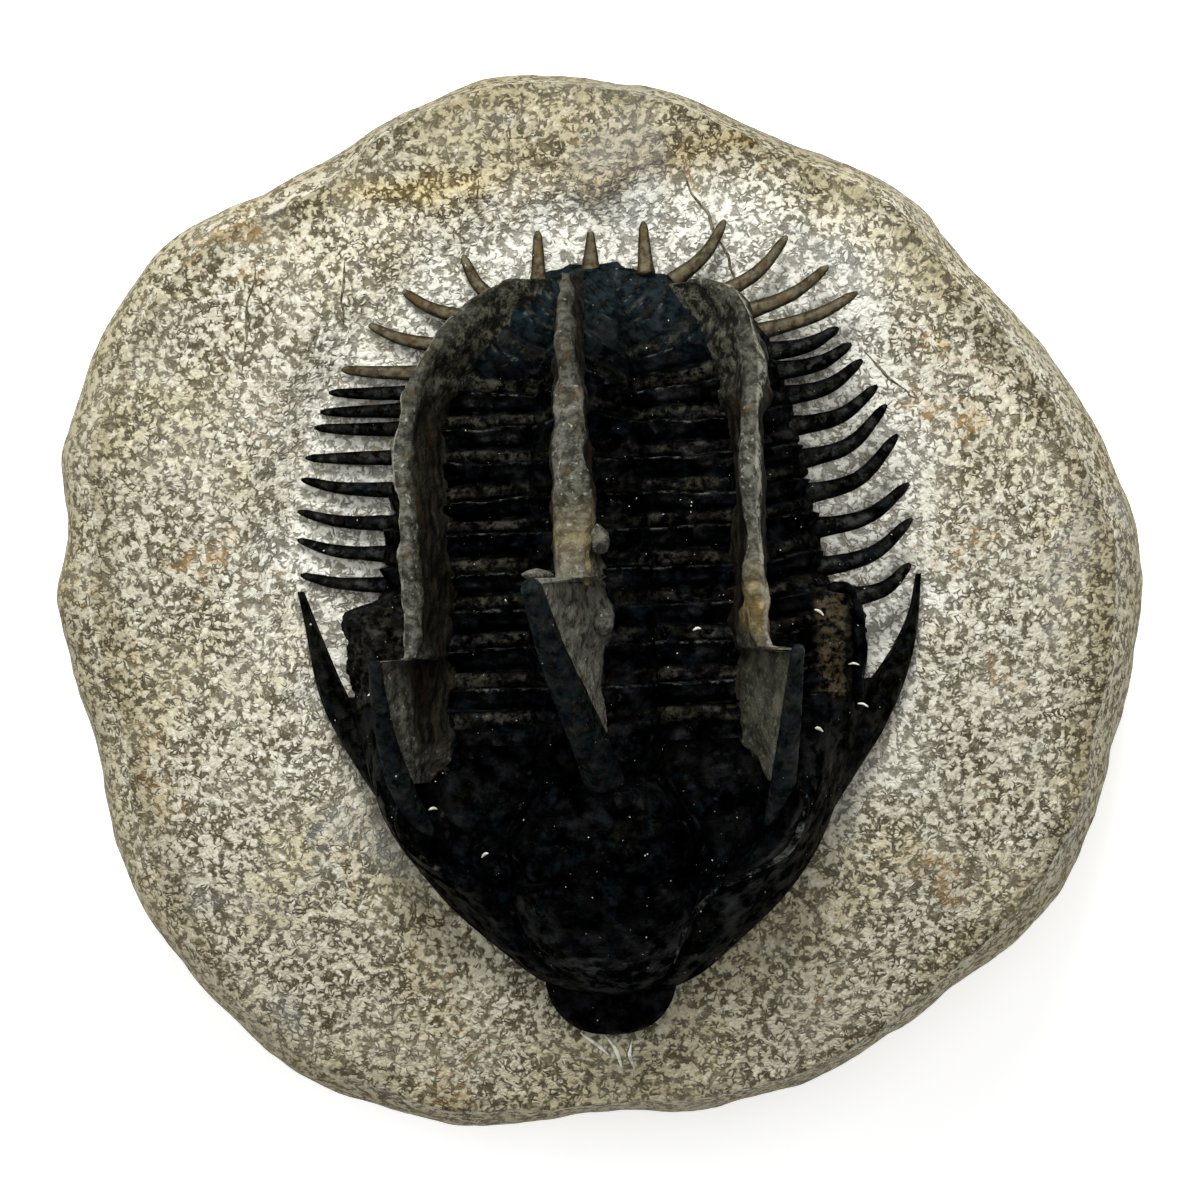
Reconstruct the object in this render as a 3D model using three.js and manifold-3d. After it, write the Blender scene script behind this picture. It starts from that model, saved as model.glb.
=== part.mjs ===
// A Comura trilobite freed from its limestone nodule, with walls of rock left between its upright spines.
// Millimetres, +Z up. The tail points to +Y, and the origin is under the middle of the stone's flat base.
import * as THREE from "three";
import { mergeVertices } from "three/addons/utils/BufferGeometryUtils.js";
import Module from "manifold-3d";

const wasm = await Module();
wasm.setup();

// The stone
const STONE_CENTRE = [0.4, 5.2]; // the middle of the hollow round the fossil, which every ring goes round
const STONE_SHIFT = [-0.03, -0.09]; // moves the finished object so that its box is centred on the origin
const STONE_BEARINGS = 84;
const FACE_HEIGHT = 24.4; // the dressed top face, at its middle
const FACE_TILT = 0.035; // rise of the face per millimetre towards +X
const FACE_FALL = 4.6; // how far the face drops from its middle to its edge
const FLOOR_HEIGHT = 21.7; // the hollow's floor under the fossil's axis
const FLOOR_TILT = 0.06;
const HOLLOW_RADIUS = 24.4;
const HOLLOW_TAIL_EXTRA = 2.6; // the long tail spines on the right need a wider hollow
const HOLLOW_SLOPE = 2.6; // width of the slope from the floor to the face
const POCKET_FLOOR = 16; // the fossil sits in a pocket this high above the base
const GAP = 0.3; // clearance between touching solids
const WIDEST_HEIGHT = 11; // where the stone's side bulges most
const EDGE_INSET = { ends: 1.5, sides: 3 }; // the top face stops this far inside the widest outline
const BASE_SHARE = 0.9; // the flat base against the widest outline
const STONE_EDGE = [
  [41.3, 5.2], [39.2, 10.3], [37, 15], [34.2, 19.2], [31, 22.9], [27.9, 26.3], [24.9, 29.8], [21.2, 32.3],
  [17.1, 34.1], [13, 35.6], [9, 37.4], [4.9, 39.1], [0.4, 40], [-4.2, 40.4], [-8.9, 40], [-13.3, 38.4],
  [-17.6, 36.4], [-21.3, 33.5], [-25.5, 31.1], [-30.7, 29.1], [-34.7, 25.5], [-37.8, 21], [-40, 16], [-41.6, 10.7],
  [-41.1, 5.2], [-41.6, -0.3], [-40.4, -5.7], [-38.6, -11], [-37.6, -16.7], [-35.6, -22.4], [-32.5, -27.7],
  [-28.5, -32.4], [-23.5, -36.1], [-17.7, -38.5], [-11.7, -40.1], [-5.6, -40.1], [0.4, -39.6], [6.3, -39.3],
  [12.1, -38.4], [17.7, -36.5], [22.8, -33.5], [27.3, -29.9], [31.8, -26.2], [35.6, -21.8], [38.4, -16.7],
  [39.6, -11], [40.9, -5.7], [41.5, -0.2],
];
const LEDGE_LINE = [[-24, 30], [-12.7, 30.7], [-3, 30.3], [3, 31.4], [6.7, 32.5], [10.5, 34], [13.4, 36.4]];
const LEDGE_RISE = [[-24, 0.3], [-13, 1.6], [-3, 2.6], [7, 2.2], [13.4, 0.4]]; // height of the step, by x

// The fossil's own frame: u across to its left flank's side, v along to the tail, w up from the hollow's floor
const BODY_PLACE = [0.85, -10.5, 22];
const BODY_YAW = 2.2; // degrees
const BODY_ROLL = 8; // degrees, its back tipped towards -X

// Thorax and tail, as [v, size] along the axis
const TAIL_END = 35.5;
const SEGMENTS = 11;
const FIRST_FURROW = 1.3;
const SEGMENT_LENGTH = 3;
const SEGMENT_SHORTENING = 0.035;
const TAIL_RIBS = 5;
const TAIL_RIB_LENGTH = 0.98;
const RIB_RELIEF = 0.34;
const MARGIN_HEIGHT = 0.8;
const FULCRUM_DROP = 0.6;
const AXIS_TOP = [[-1.5, 10.6], [5, 10.8], [12, 10.4], [20, 9.6], [27, 8], [32, 5.6], [34.2, 3.6], [TAIL_END, 1.7]];
const AXIS_HALF = [[0, 4.8], [15, 4.6], [24, 4], [30, 3], [34, 1.7], [TAIL_END, 0.6]];
const PLEURA_TOP = [[0, 7.9], [12, 7.7], [20, 7.2], [27, 6], [32, 4], [34.2, 2.4], [TAIL_END, 1.3]];
const FULCRUM = [[0, 11.6], [20, 11.4], [26, 11], [30, 10], [32, 8.4], [33.6, 6], [34.8, 3.2], [TAIL_END, 1]];
const MARGIN = [
  [0, 18.4], [4, 18.9], [10.2, 19], [11.3, 16.8], [14, 16.4], [17, 15.9], [20, 15.4], [24, 14.6], [28, 13.2],
  [30, 12.2], [32, 10.4], [33.5, 8], [34.4, 5.6], [35.1, 3.2], [TAIL_END, 1.6],
];
const TAIL_SKEW = [[26, 0], [33, 0.08], [36, 0.08]]; // the tail's right side is wider than its left
const FLANK_SQUARENESS = [[9.8, 4.2], [11.6, 2.3]];

// Head
const HEAD_BACK = 1.6;
const HEAD_BOW = 2.4; // how far the head's rear edge sweeps back towards the cheeks
const HEAD_HALF = [
  [-19, 2.2], [-18.6, 4], [-17.6, 6.2], [-15.7, 8.6], [-12.3, 12.4], [-9, 15], [-5.5, 17], [-1.5, 19], [1.6, 20.4],
];
const HEAD_CREST = [
  [-19, 1.8], [-18.5, 4.2], [-17, 7.2], [-15, 9.3], [-12.5, 10.8], [-10, 11.5], [-7, 11.6], [-4, 11.2],
  [-2.6, 10.2], [-1.2, 10.9], [0.5, 10.7], [1.6, 10.3],
];
const GLABELLA_HALF = [
  [-19, 1.4], [-18.2, 3.2], [-16.6, 5], [-14.5, 6.5], [-12.5, 7], [-10.5, 7.3], [-9.5, 7], [-7, 7.2], [-4.4, 5.8],
  [-2.6, 4.9], [1.6, 4.9],
];
// The raised shelf between the middle lobe and the cheeks, which carries the eyes: its outer edge and its height
const SHELF_HALF = [
  [-19, 1.6], [-18.2, 3.4], [-16.6, 5.3], [-14.5, 6.9], [-12.5, 7.7], [-11, 8.9], [-9.5, 10.8], [-8, 13], [-6, 14.6],
  [-4, 15.2], [1.6, 15.2],
];
const SHELF_HEIGHT = [
  [-19, 1.6], [-18, 3], [-16.5, 4.6], [-14.2, 6], [-11.5, 7.8], [-9, 9.6], [-7, 11], [-5, 11.6], [-3, 11],
  [-1.2, 9.2], [1.6, 8],
];
const CHEEK_HEIGHT = [[-19, 1.2], [-17, 2.4], [-13, 5], [-10, 6.6], [-6, 7.6], [1.6, 7.3]];
const SNOUT = { u: -0.6, back: -17.4, front: -22, half: 5, height: 2.1 };

// Spines: paths and thicknesses, in the fossil's frame
const CHEEK_SPINE = {
  left: {
    stations: [-7, -5, -3, -0.6, 1.6, 3, 4.8, 6.8, 9.2, 12],
    outer: [[-7, 15.6], [-3, 18.4], [0.4, 20.4], [2.9, 21.6], [5.3, 22.3], [9.2, 22.9], [12, 23.4]],
    inner: [[-7, 12.4], [-3, 14.8], [0.4, 17.7], [2.8, 19.2], [4.8, 20.2], [8.4, 21.6], [12, 22.9]],
  },
  right: {
    stations: [-7, -5, -3, -0.6, 1.6, 3, 4.8, 6.8, 9.2, 11.6],
    outer: [[-7, 15.6], [-3, 18.4], [0.2, 20.6], [3.7, 22.3], [7.3, 23.3], [11.6, 23.8]],
    inner: [[-7, 12.4], [-3, 14.8], [1.6, 17.6], [3.6, 19.4], [5, 20.6], [7, 21.9], [9, 22.8], [11.6, 23.4]],
  },
  height: [[-7, 3.6], [-3, 3.4], [3, 2.7], [12, 1.2]],
};
const EYE_SPINE = {
  u: [[-6.2, 13.1], [-3, 13.9], [2, 14.7], [6.7, 15]],
  w: [[-6.2, 8.4], [-3, 11.2], [2, 15.6], [6.7, 19]],
  root: 1,
  tip: 0.5,
  splay: { left: -0.9, right: 1.1 }, // the two lean apart unequally
};
const NECK_SPINE = {
  u: [[-3.4, 0.8], [-2, 0.6], [0.8, 0.15], [5.8, -1], [10, -1.7], [11.8, -1.9]],
  w: [[-3.4, 8.6], [0, 12.6], [6, 18.8], [11.8, 24.2]],
  root: 1.45,
  tip: 0.76,
};
// Each side or tail spine is [v of its root, bearing of its tip in degrees, reach of its tip].
const SPINE_FAN = { u: 0.1, v: 15.8 }; // the tips lie on a circle round this point
const SIDE_SPINE = { root: 0.78, tip: 0.3, bend: 0.3 };
const TAIL_SPINE = { root: 0.66, tip: 0.4, bend: 0.42 };
const SIDE_SPINES = {
  left: [
    [12.2, -6.3, 23.1], [14.5, 0.3, 23.1], [16.8, 5.6, 23.1], [19.3, 11.6, 23.1], [21.8, 15.7, 23.1],
    [23.9, 21.6, 23.1], [25.3, 24.7, 23.1], [26.6, 28.7, 23.1],
  ],
  right: [
    [9.9, -8.6, 23.1], [12.2, -0.3, 23.1], [15.1, 6.2, 23.1], [17.6, 15.4, 23.1], [20.2, 21.3, 23.1],
    [22.7, 25.2, 23.1], [25, 30.7, 23.1], [26.9, 34.3, 23.1], [28.4, 38.1, 23.1],
  ],
};
const TAIL_SPINES = {
  left: [[28, 33.6, 23.1], [29.8, 43.3, 23.4], [31.8, 52.2, 23.4], [33, 65.2, 23.1], [34.4, 80.1, 22.9]],
  right: [[29.8, 40.5, 25.9], [31.2, 47, 25.8], [32.6, 55.5, 25.8], [34, 66.2, 24.8], [34.6, 80.4, 23.2]],
};
const END_SPINE = { root: [0, 34.2], tip: [0.1, 38] };

// Walls of rock left between the upright spines, as [v, size] along the axis, each starting under its spine
const WALL_BEND = 25; // past here the side walls turn in over the bent-down ends of the ribs
const LEFT_WALL = {
  stations: [0, 1.2, 2.6, 4.6, 6.6, 7.2, 10, 13, 16, 19, 22, 25, 27.5, 29.5, 31, 32.3, 33.4, 34.4],
  under: 6.8, // up to here the wall's top follows the spine
  foot: [
    [-0.6, 11.9], [3, 11.8], [8, 11.6], [12, 11.4], [18, 11.6], [22, 11.9], [26, 11.4], [29, 10], [31.5, 8.2],
    [34.4, 4],
  ],
  root: [[0, 1.1], [30, 1.2], [34.4, 0.8]], // half of its thickness at the foot
  top: [
    [6.4, 12.8], [7.2, 12.35], [12, 12.2], [18, 12.5], [21.4, 12.9], [24.5, 12.5], [27.5, 11.9], [30.7, 9.9],
    [32.2, 9], [34.4, 6],
  ],
  half: [[7, 0.72], [24, 0.75], [31, 0.7], [34.4, 0.45]], // and at the top
  height: [[6.4, 16], [7.2, 15.4], [12, 15], [20, 14], [24, 12.8], [28.5, 10.6], [31.5, 8.2], [33.2, 6], [34.4, 4.4]],
};
const RIGHT_WALL = {
  stations: [0, 1.2, 2.6, 4.6, 6.4, 7.2, 10, 13, 16, 19, 22, 25, 27.5, 29.5, 31, 32.3, 33.8],
  under: 6.6,
  foot: [
    [-1, 12], [1, 11.5], [4.9, 11.2], [11, 11.5], [17, 11.7], [23.6, 11.8], [28, 11.9], [30, 11], [32, 9.4],
    [33.8, 7],
  ],
  root: [[0, 1.2], [30, 1.2], [33.8, 0.8]],
  top: [
    [6.4, 13.5], [7.2, 13.1], [11, 12.9], [19.3, 12.7], [23.3, 12.8], [27, 12.9], [29.5, 12.5], [31.4, 12.1],
    [32.6, 11.2], [33.8, 8],
  ],
  half: [[7, 0.72], [24, 0.75], [31, 0.7], [33.8, 0.45]],
  height: [[6.4, 16], [7.2, 15.4], [12, 15], [20, 14], [24, 12.8], [28.5, 10.8], [31.5, 9], [32.6, 7.6], [33.8, 4.8]],
};
const MIDDLE_WALL = {
  stations: [2.4, 4, 6, 8, 10, 12, 12.4, 14.5, 17.2, 20.5, 24.3, 28, 30, 31.5, 33.2, 34.6],
  under: 12.1,
  foot: [
    [2.4, 0.4], [4, 0.2], [6, 0.3], [8, 0.8], [10, 0.9], [12.4, 0.5], [15.5, -0.8], [28, -1.1], [31.5, -1.1],
    [34.7, -0.7],
  ],
  root: [[2.4, 0.7], [3, 0.9], [6, 1.2], [31, 1.1], [34.7, 0.6]],
  top: [[11.3, 0], [14, 0.1], [17.2, 0.3], [20.5, 0.13], [24.3, 0.1], [28, -0.19], [31.5, -0.69], [34.7, -1.26]],
  half: [[11.3, 1.4], [14, 1.4], [17.2, 1.55], [20.5, 1.33], [24.3, 1.2], [28, 0.92], [31.5, 0.64], [34.7, 0.44]],
  height: [[11.3, 19.2], [12.4, 17.8], [21, 17], [28.5, 14], [32, 10.8], [33.8, 8], [34.7, 6.4]],
};
// Lumps on its right side: where their middles are, and half of their size along each axis
const WALL_KNOBS = [
  { place: [1.2, 15, 15.5], half: [0.85, 1.6, 0.9] },
  { place: [1.5, 8.9, 12.9], half: [0.7, 1.5, 0.75] },
  { place: [0.6, 13.6, 16.8], half: [0.75, 2.2, 0.8] },
];

const STONE_COLOUR = 0xb9b39c;
const SHELL_COLOUR = 0x14161a;
const WALL_COLOUR = 0x7f7b6e;

const rad = THREE.MathUtils.degToRad;
const { clamp, lerp, smoothstep } = THREE.MathUtils;

// A smooth curve through [station, value] pairs, level beyond its ends.
function through(pairs) {
  const last = pairs.length - 1;
  const slope = (i) => {
    const [x0, y0] = pairs[Math.max(i - 1, 0)];
    const [x1, y1] = pairs[Math.min(i + 1, last)];
    return (y1 - y0) / (x1 - x0);
  };
  return (x) => {
    if (x <= pairs[0][0]) return pairs[0][1];
    if (x >= pairs[last][0]) return pairs[last][1];
    const i = pairs.findIndex((pair) => pair[0] > x) - 1;
    const [x0, y0] = pairs[i];
    const [x1, y1] = pairs[i + 1];
    const span = x1 - x0;
    const t = (x - x0) / span;
    const rise = t * t * (3 - 2 * t);
    return y0 + (y1 - y0) * rise + span * t * (1 - t) * (slope(i) * (1 - t) - slope(i + 1) * t);
  };
}

const axisTop = through(AXIS_TOP);
const axisHalf = through(AXIS_HALF);
const pleuraTop = through(PLEURA_TOP);
const fulcrum = through(FULCRUM);
const margin = through(MARGIN);
const flankSquareness = through(FLANK_SQUARENESS);
const headHalf = through(HEAD_HALF);
const headCrest = through(HEAD_CREST);
const glabellaHalf = through(GLABELLA_HALF);
const shelfHalf = through(SHELF_HALF);
const shelfHeight = through(SHELF_HEIGHT);
const cheekHeight = through(CHEEK_HEIGHT);
const ledgeRise = through(LEDGE_RISE);
const tailSkew = through(TAIL_SKEW);
const cheekSpineHeight = through(CHEEK_SPINE.height);

const bodyFrame = new THREE.Matrix4()
  .makeRotationFromEuler(new THREE.Euler(0, -rad(BODY_ROLL), rad(BODY_YAW), "ZYX"))
  .setPosition(...BODY_PLACE);
const inWorld = (u, v, w) => new THREE.Vector3(u, v, w).applyMatrix4(bodyFrame);
const floorAt = (x) => FLOOR_HEIGHT + FLOOR_TILT * (x - STONE_CENTRE[0]);

// A three.js geometry as a manifold solid facing out.
function solid(geometry) {
  const bare = geometry.clone();
  bare.deleteAttribute("normal");
  bare.deleteAttribute("uv");
  const merged = mergeVertices(bare, 1e-4);
  const build = (triVerts) =>
    new wasm.Manifold(new wasm.Mesh({ numProp: 3, vertProperties: merged.attributes.position.array, triVerts }));
  const faces = new Uint32Array(merged.index.array);
  const made = build(faces);
  return made.volume() > 0 ? made : build(faces.reverse());
}

// A closed skin over rings of equal length, each end closed by a fan to its middle.
function loft(rings) {
  const count = rings[0].length;
  const points = rings.flat();
  const faces = [];
  for (let r = 0; r + 1 < rings.length; r++)
    for (let i = 0; i < count; i++) {
      const a = r * count + i;
      const b = r * count + ((i + 1) % count);
      faces.push(a, b, b + count, a, b + count, a + count);
    }
  const cap = (ring, first, turned) => {
    const middle = points.length;
    points.push(ring.reduce((sum, p) => sum.add(p), new THREE.Vector3()).divideScalar(count));
    for (let i = 0; i < count; i++) {
      const edge = [first + i, first + ((i + 1) % count)];
      faces.push(middle, ...(turned ? edge : edge.reverse()));
    }
  };
  cap(rings[0], 0, false);
  cap(rings.at(-1), (rings.length - 1) * count, true);
  const geometry = new THREE.BufferGeometry().setFromPoints(points);
  geometry.setIndex(faces);
  return solid(geometry);
}

// A round tapered horn along a smooth curve through points, its end blunted.
function horn(points, rootRadius, tipRadius, sides = 6, steps = 5) {
  const curve = new THREE.CatmullRomCurve3(points);
  const rings = [];
  for (let s = 0; s <= steps; s++) {
    const t = s / steps;
    const centre = curve.getPoint(t);
    const along = curve.getTangent(t);
    const across = new THREE.Vector3(0, 0, 1).cross(along).normalize();
    const up = along.clone().cross(across);
    const radius = lerp(rootRadius, tipRadius, t ** 1.4);
    rings.push(
      Array.from({ length: sides }, (_, i) => {
        const turn = (2 * Math.PI * i) / sides;
        return centre
          .clone()
          .addScaledVector(across, radius * Math.cos(turn))
          .addScaledVector(up, radius * Math.sin(turn));
      }),
    );
  }
  return loft(rings);
}

// Height of the smooth back at u, from the axis out over the ribs' inner and bent-down parts.
function backHeight(u, v) {
  const [axis, knee, rim] = [axisHalf(v), fulcrum(v), margin(v)];
  const out = Math.abs(u) / (1 + Math.sign(u) * tailSkew(v));
  const inner = pleuraTop(v);
  if (out <= axis) return inner + (axisTop(v) - inner) * (1 - (out / axis) ** 2) ** 0.4;
  if (out <= knee) return inner - FULCRUM_DROP * ((out - axis) / (knee - axis)) ** 2;
  const square = flankSquareness(v);
  const share = Math.min((out - knee) / (rim - knee), 1);
  return lerp(MARGIN_HEIGHT, inner - FULCRUM_DROP, (1 - share ** square) ** (1 / square));
}

// Where the section's points lie across the back, crowded towards the bends.
function backSpan(v) {
  const [axis, knee, rim] = [axisHalf(v), fulcrum(v), margin(v)];
  const shares = [0.45, 0.78, 1].map((s) => s * axis);
  shares.push((axis + knee) / 2, knee, lerp(knee, rim, 0.45), lerp(knee, rim, 0.76), lerp(knee, rim, 0.94), rim);
  return [...shares.toReversed().map((s) => -s), 0, ...shares].map((u) => u * (1 + Math.sign(u) * tailSkew(v)));
}

const furrow = (i) => FIRST_FURROW + SEGMENT_LENGTH * i - SEGMENT_SHORTENING * i * (i - 1);
const TAIL_START = furrow(SEGMENTS);

// Furrows and crests along the back, as [v, height] pairs.
function ribStations() {
  const stations = [[FIRST_FURROW - 1.2, -1]];
  for (let i = 0; i < SEGMENTS; i++) stations.push([furrow(i), -1], [(furrow(i) + furrow(i + 1)) / 2, 1]);
  for (let i = 0; i < TAIL_RIBS; i++)
    stations.push([TAIL_START + i * TAIL_RIB_LENGTH, -0.7], [TAIL_START + (i + 0.5) * TAIL_RIB_LENGTH, 0.7]);
  stations.push([TAIL_END - 0.3, 0], [TAIL_END, 0]);
  return stations;
}

function thorax() {
  return loft(
    ribStations().map(([v, crest]) => {
      const span = backSpan(v);
      const top = span.map((u, i) => {
        const relief = i === 0 || i === span.length - 1 ? 0 : crest * RIB_RELIEF;
        return inWorld(u, v, backHeight(u, v) + relief);
      });
      return skirted(top);
    }),
  );
}

// A section's upper line closed by a flat bottom just above the pocket's floor.
function skirted(top) {
  const below = (p) => new THREE.Vector3(p.x, p.y, POCKET_FLOOR + GAP);
  return [below(top[0]), ...top, below(top.at(-1))];
}

function headHeight(u, v) {
  const side = Math.abs(u);
  const [edge, lobe, cheek] = [headHalf(v), glabellaHalf(v), cheekHeight(v)];
  const [shelf, ridge] = [shelfHalf(v), shelfHeight(v)];
  const out = clamp((side - shelf) / Math.max(edge - shelf, 0.1), 0, 1);
  const slope = lerp(MARGIN_HEIGHT, ridge, (1 - out ** 1.7) ** 0.8);
  const inwards = (shelf - 0.2 - side) / 2.1;
  const dished = lerp(cheek - 0.8, ridge, Math.exp(-(inwards ** 2)));
  const height = side > shelf ? slope : dished;
  if (side >= lobe) return height;
  return Math.max(height, lerp(cheek - 1, headCrest(v), (1 - (side / lobe) ** 2.6) ** 0.5));
}

// How far the head's sections are swept back at the cheeks.
function headBow(v) {
  return HEAD_BOW * smoothstep(v, -10, HEAD_BACK);
}

function head() {
  const stations = [-19, -18.5, -17.7, -16.4, -14.8, -13.2, -11.6, -10.2, -9.2, -8, -6.4, -4.8, -3.4, -2.4, -1.2, 0.4];
  stations.push(HEAD_BACK);
  const shares = [0, 0.14, 0.27, 0.38, 0.47, 0.55, 0.63, 0.7, 0.76, 0.82, 0.9, 0.97, 1];
  const across = [...shares.slice(1).reverse().map((s) => -s), ...shares];
  return loft(
    stations.map((v) => {
      const bow = headBow(v);
      return skirted(
        across.map((t) => {
          const u = t * headHalf(v);
          return inWorld(u, v + bow * t * t, headHeight(u, v));
        }),
      );
    }),
  );
}

// The flat spoon-shaped process in front of the head.
function snout() {
  const rings = [];
  for (let s = 0; s <= 6; s++) {
    const turn = (s / 6) * (Math.PI / 2) * 0.96;
    const v = lerp(SNOUT.back, SNOUT.front, Math.sin(turn));
    const half = SNOUT.half * Math.cos(turn) ** 0.8;
    const top = [-1, -0.7, 0, 0.7, 1].map((t) =>
      inWorld(SNOUT.u + t * half, v, lerp(MARGIN_HEIGHT, SNOUT.height, (1 - t * t) * Math.cos(turn) ** 0.5)),
    );
    rings.push(skirted(top));
  }
  return loft(rings);
}

// Lifts a spine's point so that the spine clears the hollow's floor.
function clear(point, radius) {
  point.z = Math.max(point.z, floorAt(point.x) + GAP + radius);
  return point;
}

// One side or tail spine, from a root inside the flank, out and back to a tip on the fan.
function fanSpine(side, [v, bearing, reach], girth) {
  const turn = rad(bearing);
  const root = [side * (margin(v) * (1 + side * tailSkew(v)) - 1.2), v];
  const tip = [side * (SPINE_FAN.u + reach * Math.cos(turn)), SPINE_FAN.v + reach * Math.sin(turn)];
  const elbow = [lerp(root[0], tip[0], 0.6), lerp(root[1], tip[1], girth.bend)];
  const points = [
    clear(inWorld(...root, 1.6), girth.root),
    clear(inWorld(...elbow, 1), girth.root),
    clear(inWorld(...tip, 0.4), girth.tip),
  ];
  return horn(points, girth.root, girth.tip, 5, 4);
}

function fanSpines() {
  const spines = [];
  for (const [name, side] of [["left", -1], ["right", 1]]) {
    spines.push(...SIDE_SPINES[name].map((spine) => fanSpine(side, spine, SIDE_SPINE)));
    spines.push(...TAIL_SPINES[name].map((spine) => fanSpine(side, spine, TAIL_SPINE)));
  }
  const [root, tip] = [END_SPINE.root, END_SPINE.tip].map(([u, v]) => clear(inWorld(u, v, 1.4), TAIL_SPINE.root));
  spines.push(horn([root, root.clone().lerp(tip, 0.5), tip], TAIL_SPINE.root, TAIL_SPINE.tip, 5, 3));
  return spines;
}

// The blade a cheek is drawn out into, lying beside the first segments.
function cheekSpine(side, shape) {
  const [outerAt, innerAt] = [shape.outer, shape.inner].map(through);
  return loft(
    shape.stations.map((v) => {
      const [outer, inner, height] = [outerAt(v), innerAt(v), cheekSpineHeight(v)];
      const middle = (outer + inner) / 2;
      const section = [[outer, 0], [outer - 0.1, 0.3], [middle, 1], [inner + 0.1, 0.3], [inner, 0]];
      return section.map(([u, lift]) => {
        const point = inWorld(side * u, v, 0);
        point.z = floorAt(point.x) + GAP + height * lift + 0.8 * smoothstep(-v, -1, 4) * lift;
        return point;
      });
    }),
  );
}

// Centre and thickness of an upright spine where it passes v.
function spineAt(spine, side, lean, v) {
  const [start, end] = [spine.w[0][0], spine.w.at(-1)[0]];
  const share = clamp((v - start) / (end - start), 0, 1);
  const u = through(spine.u)(v) + lean * share ** 2;
  return { u: side * u, w: through(spine.w)(v), radius: lerp(spine.root, spine.tip, share ** 1.4) };
}

function uprightSpine(spine, side, lean) {
  const points = spine.w.map(([v]) => {
    const { u, w } = spineAt(spine, side, lean, v);
    return inWorld(u, v, w);
  });
  return horn(points, spine.root, spine.tip, 7, 6);
}

function trilobite() {
  const { left, right } = EYE_SPINE.splay;
  const upright = [uprightSpine(EYE_SPINE, -1, left), uprightSpine(EYE_SPINE, 1, right)];
  const cheeks = [cheekSpine(-1, CHEEK_SPINE.left), cheekSpine(1, CHEEK_SPINE.right)];
  const neck = uprightSpine(NECK_SPINE, 1, 0);
  return wasm.Manifold.union([thorax(), head(), snout(), neck, ...upright, ...cheeks, ...fanSpines()]);
}

// The fossil's top at (u, v), head or ribs.
function fossilTop(u, v) {
  const back = v > FIRST_FURROW - 1.2 ? backHeight(u, v) + RIB_RELIEF : 0;
  const swept = v - headBow(v) * (u / headHalf(v)) ** 2;
  const front = swept < HEAD_BACK ? headHeight(u, swept) : 0;
  return Math.max(back, front);
}

// One upright wall of rock standing clear of the fossil and under its spine.
function wall(shape, spine, side, lean) {
  const [footAt, rootAt, topAt] = [shape.foot, shape.root, shape.top].map(through);
  const [halfAt, heightAt] = [shape.half, shape.height].map(through);
  return loft(
    shape.stations.map((v) => {
      const low = side * footAt(v);
      let [high, crown] = [side * topAt(v), heightAt(v)];
      let half = halfAt(v);
      if (v < shape.under) {
        const above = spineAt(spine, side, lean, v);
        high = above.u;
        crown = above.w - above.radius * 1.4 - GAP * 1.6;
        half = above.radius * 0.8;
      }
      const [left, right] = [low - rootAt(v), low + rootAt(v)];
      const base = Math.max(fossilTop(left, v), fossilTop(right, v), fossilTop(low, v)) + GAP;
      const clearance = GAP * (v < HEAD_BACK + HEAD_BOW || v > WALL_BEND ? 3.4 : 1.6);
      const middle = lerp(low, high, 0.6);
      const waist = lerp(base, crown, 0.6);
      const section = [
        [left, Math.min(fossilTop(left, v) + clearance, crown - 0.3)],
        [right, Math.min(fossilTop(right, v) + clearance, crown - 0.3)],
        [middle + half * 1.25, waist],
        [high + half, crown - 0.35],
        [high - half, crown],
        [middle - half * 1.25, waist],
      ];
      return section.map(([u, w]) => inWorld(u, v, w));
    }),
  );
}

function middleWall() {
  const knobs = WALL_KNOBS.map(({ place, half }) => {
    const lump = new THREE.IcosahedronGeometry(1, 1).scale(...half).translate(...place);
    return solid(lump.applyMatrix4(bodyFrame));
  });
  return wasm.Manifold.union([wall(MIDDLE_WALL, NECK_SPINE, 1, 0), ...knobs]);
}

// Distance from a centre to a closed outline along a bearing.
function reach(outline, [cx, cy], bearing) {
  const [dx, dy] = [Math.cos(bearing), Math.sin(bearing)];
  let far = 0;
  outline.forEach(([ax, ay], i) => {
    const [bx, by] = outline[(i + 1) % outline.length];
    const [ex, ey] = [bx - ax, by - ay];
    const cross = dx * ey - dy * ex;
    if (Math.abs(cross) < 1e-9) return;
    const along = ((ax - cx) * ey - (ay - cy) * ex) / cross;
    const share = ((ax - cx) * dy - (ay - cy) * dx) / cross;
    if (along > 0 && share >= -1e-6 && share <= 1 + 1e-6) far = Math.max(far, along);
  });
  return far;
}

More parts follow.
